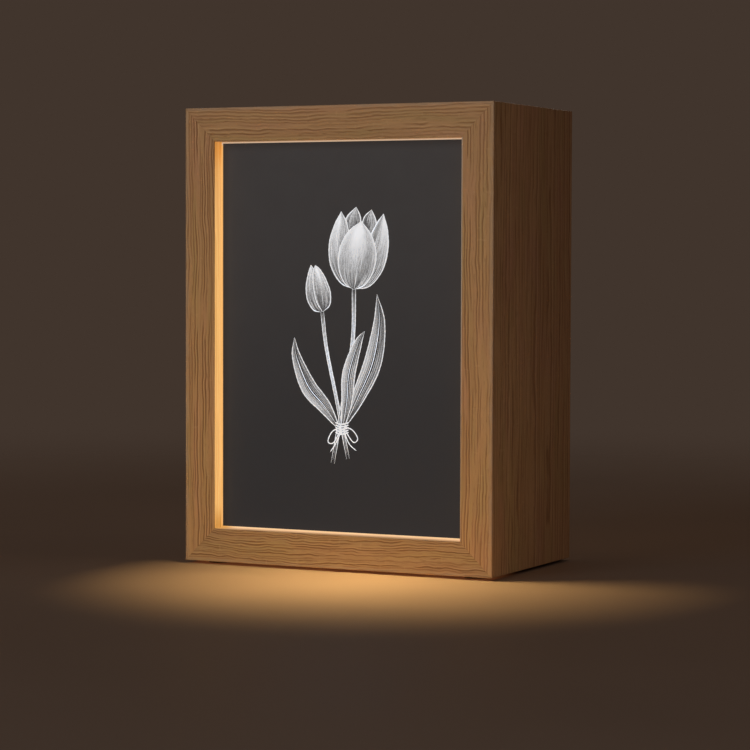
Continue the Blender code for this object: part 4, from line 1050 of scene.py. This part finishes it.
def stage():
    bm = bmesh.new()
    bmesh.ops.create_circle(bm, cap_ends=True, segments=96, radius=6.0)
    mesh = bpy.data.meshes.new("floor")
    bm.to_mesh(mesh)
    bm.free()
    floor = bpy.data.objects.new("floor", mesh)
    bpy.context.scene.collection.objects.link(floor)
    t = Tree("pale_floor")
    slow = t.noise(t.coords(), 3.0, 2.0, 0.5)
    t.set("Base Color", t.mix(t.smooth(slow, 0.3, 0.7), rgb(198, 183, 170), rgb(205, 190, 177)))
    t.set("Roughness", t.smooth(slow, 0.3, 0.7, 0.55, 0.65))
    t.shader.inputs["Specular IOR Level"].default_value = 0.3
    # a little warm light creeps under the box's front edge
    x, y, z = t.xyz()
    under = t.times(t.smooth(t.math("ABSOLUTE", x), 0.126, 0.118), t.smooth(y, -0.010, -0.066))
    under = t.times(under, t.math("GREATER_THAN", y, -0.0735))
    t.set("Emission Color", (0.075, 0.022, 0.007, 1.0))
    t.set("Emission Strength", under)
    # the floor fades into the surroundings, so that no horizon shows
    far = t.add("ShaderNodeVectorMath", operation="LENGTH")
    t.plug(t.coords(), far.inputs[0])
    fade = t.smooth(far.outputs["Value"], 0.40, 1.6)
    mix = t.add("ShaderNodeMixShader")
    clear = t.add("ShaderNodeBsdfTransparent")
    t.plug(fade, mix.inputs[0])
    t.plug(t.shader.outputs[0], mix.inputs[1])
    t.plug(clear.outputs[0], mix.inputs[2])
    t.plug(mix.outputs[0], t.tree.nodes["Material Output"].inputs["Surface"])
    mesh.materials.append(t.mat)

    world = bpy.data.worlds.new("studio")
    bpy.context.scene.world = world
    world.use_nodes = True
    back = world.node_tree.nodes["Background"]
    back.inputs["Color"].default_value = ROOM
    back.inputs["Strength"].default_value = 1.0

    # the key falls on the box at full strength, and on the floor much dimmed
    key = area_light("key", (-0.95, -2.5, 1.35), (0, 0, 0.12), 1.2, 26.8, (1.0, 0.968, 0.92))
    floor_key = area_light("floor_key", (-0.95, -2.5, 1.35), (0, 0, 0.12), 1.2, 2.0, (0.98, 0.97, 1.0))
    fill = area_light("rear_fill", (0.5, 2.5, 1.1), (0, 0, 0.15), 1.2, 27.0, (1.0, 0.95, 0.88))
    rails = area_light("rear_fill_rails", (-2.2, 1.7, 0.95), (0, 0, 0.15), 1.2, 34.0, (1.0, 0.95, 0.88))
    side = area_light("side_fill", (1.8, -1.15, 0.20), (0.125, 0, 0.12), 1.0, 3.75, (0.97, 0.87, 0.96))
    object_only = bpy.data.collections.new("fill_falls_on")
    for obj in bpy.context.scene.objects:
        if obj.type == "MESH" and obj is not floor:
            object_only.objects.link(obj)
    side.light_linking.receiver_collection = object_only
    key.light_linking.receiver_collection = object_only
    # the two rails whose edges face the camera are lit from further round
    inner, outer = bpy.data.collections.new("rear_fill_falls_on"), bpy.data.collections.new("rail_fill_falls_on")
    for obj in object_only.objects:
        (outer if obj in (nodes["frame_top"], nodes["frame_right"]) else inner).objects.link(obj)
    fill.light_linking.receiver_collection = inner
    rails.light_linking.receiver_collection = outer
    # the glowing edge's light on the floor in front
    y = Y_BEZEL - 1.0 * MM
    glow = area_light("edge_top", (0, y, Z_MID + OPEN_Z - 1.0 * MM), (0.048, y, 0), 0.194, 0.41,
                      (1.0, 0.60, 0.225), 1.2 * MM, spread=74.0)
    floor_only = bpy.data.collections.new("glow_falls_on")
    floor_only.objects.link(floor)
    glow.light_linking.receiver_collection = floor_only
    floor_key.light_linking.receiver_collection = floor_only
    # what the lit floor throws back up at the frame
    back_up = area_light("floor_bounce", (-0.07, -0.46, 0.06), (-0.07, 0, 0.09), 0.42, 0.36, (1.0, 0.76, 0.40), 0.08)
    front_only = bpy.data.collections.new("bounce_falls_on")
    for name in ("frame_top", "frame_bottom", "frame_left", "frame_right"):
        front_only.objects.link(nodes[name])
    back_up.light_linking.receiver_collection = front_only
    side_up = area_light("side_bounce", (0.42, -0.10, 0.035), (0.125, -0.01, 0.06), 0.24, 0.055, (1.0, 0.88, 0.80), 0.045)
    side_up.light_linking.receiver_collection = front_only


set_camera()
stage()
scene = bpy.context.scene
scene.view_settings.view_transform = "Standard"
scene.view_settings.look = "None"
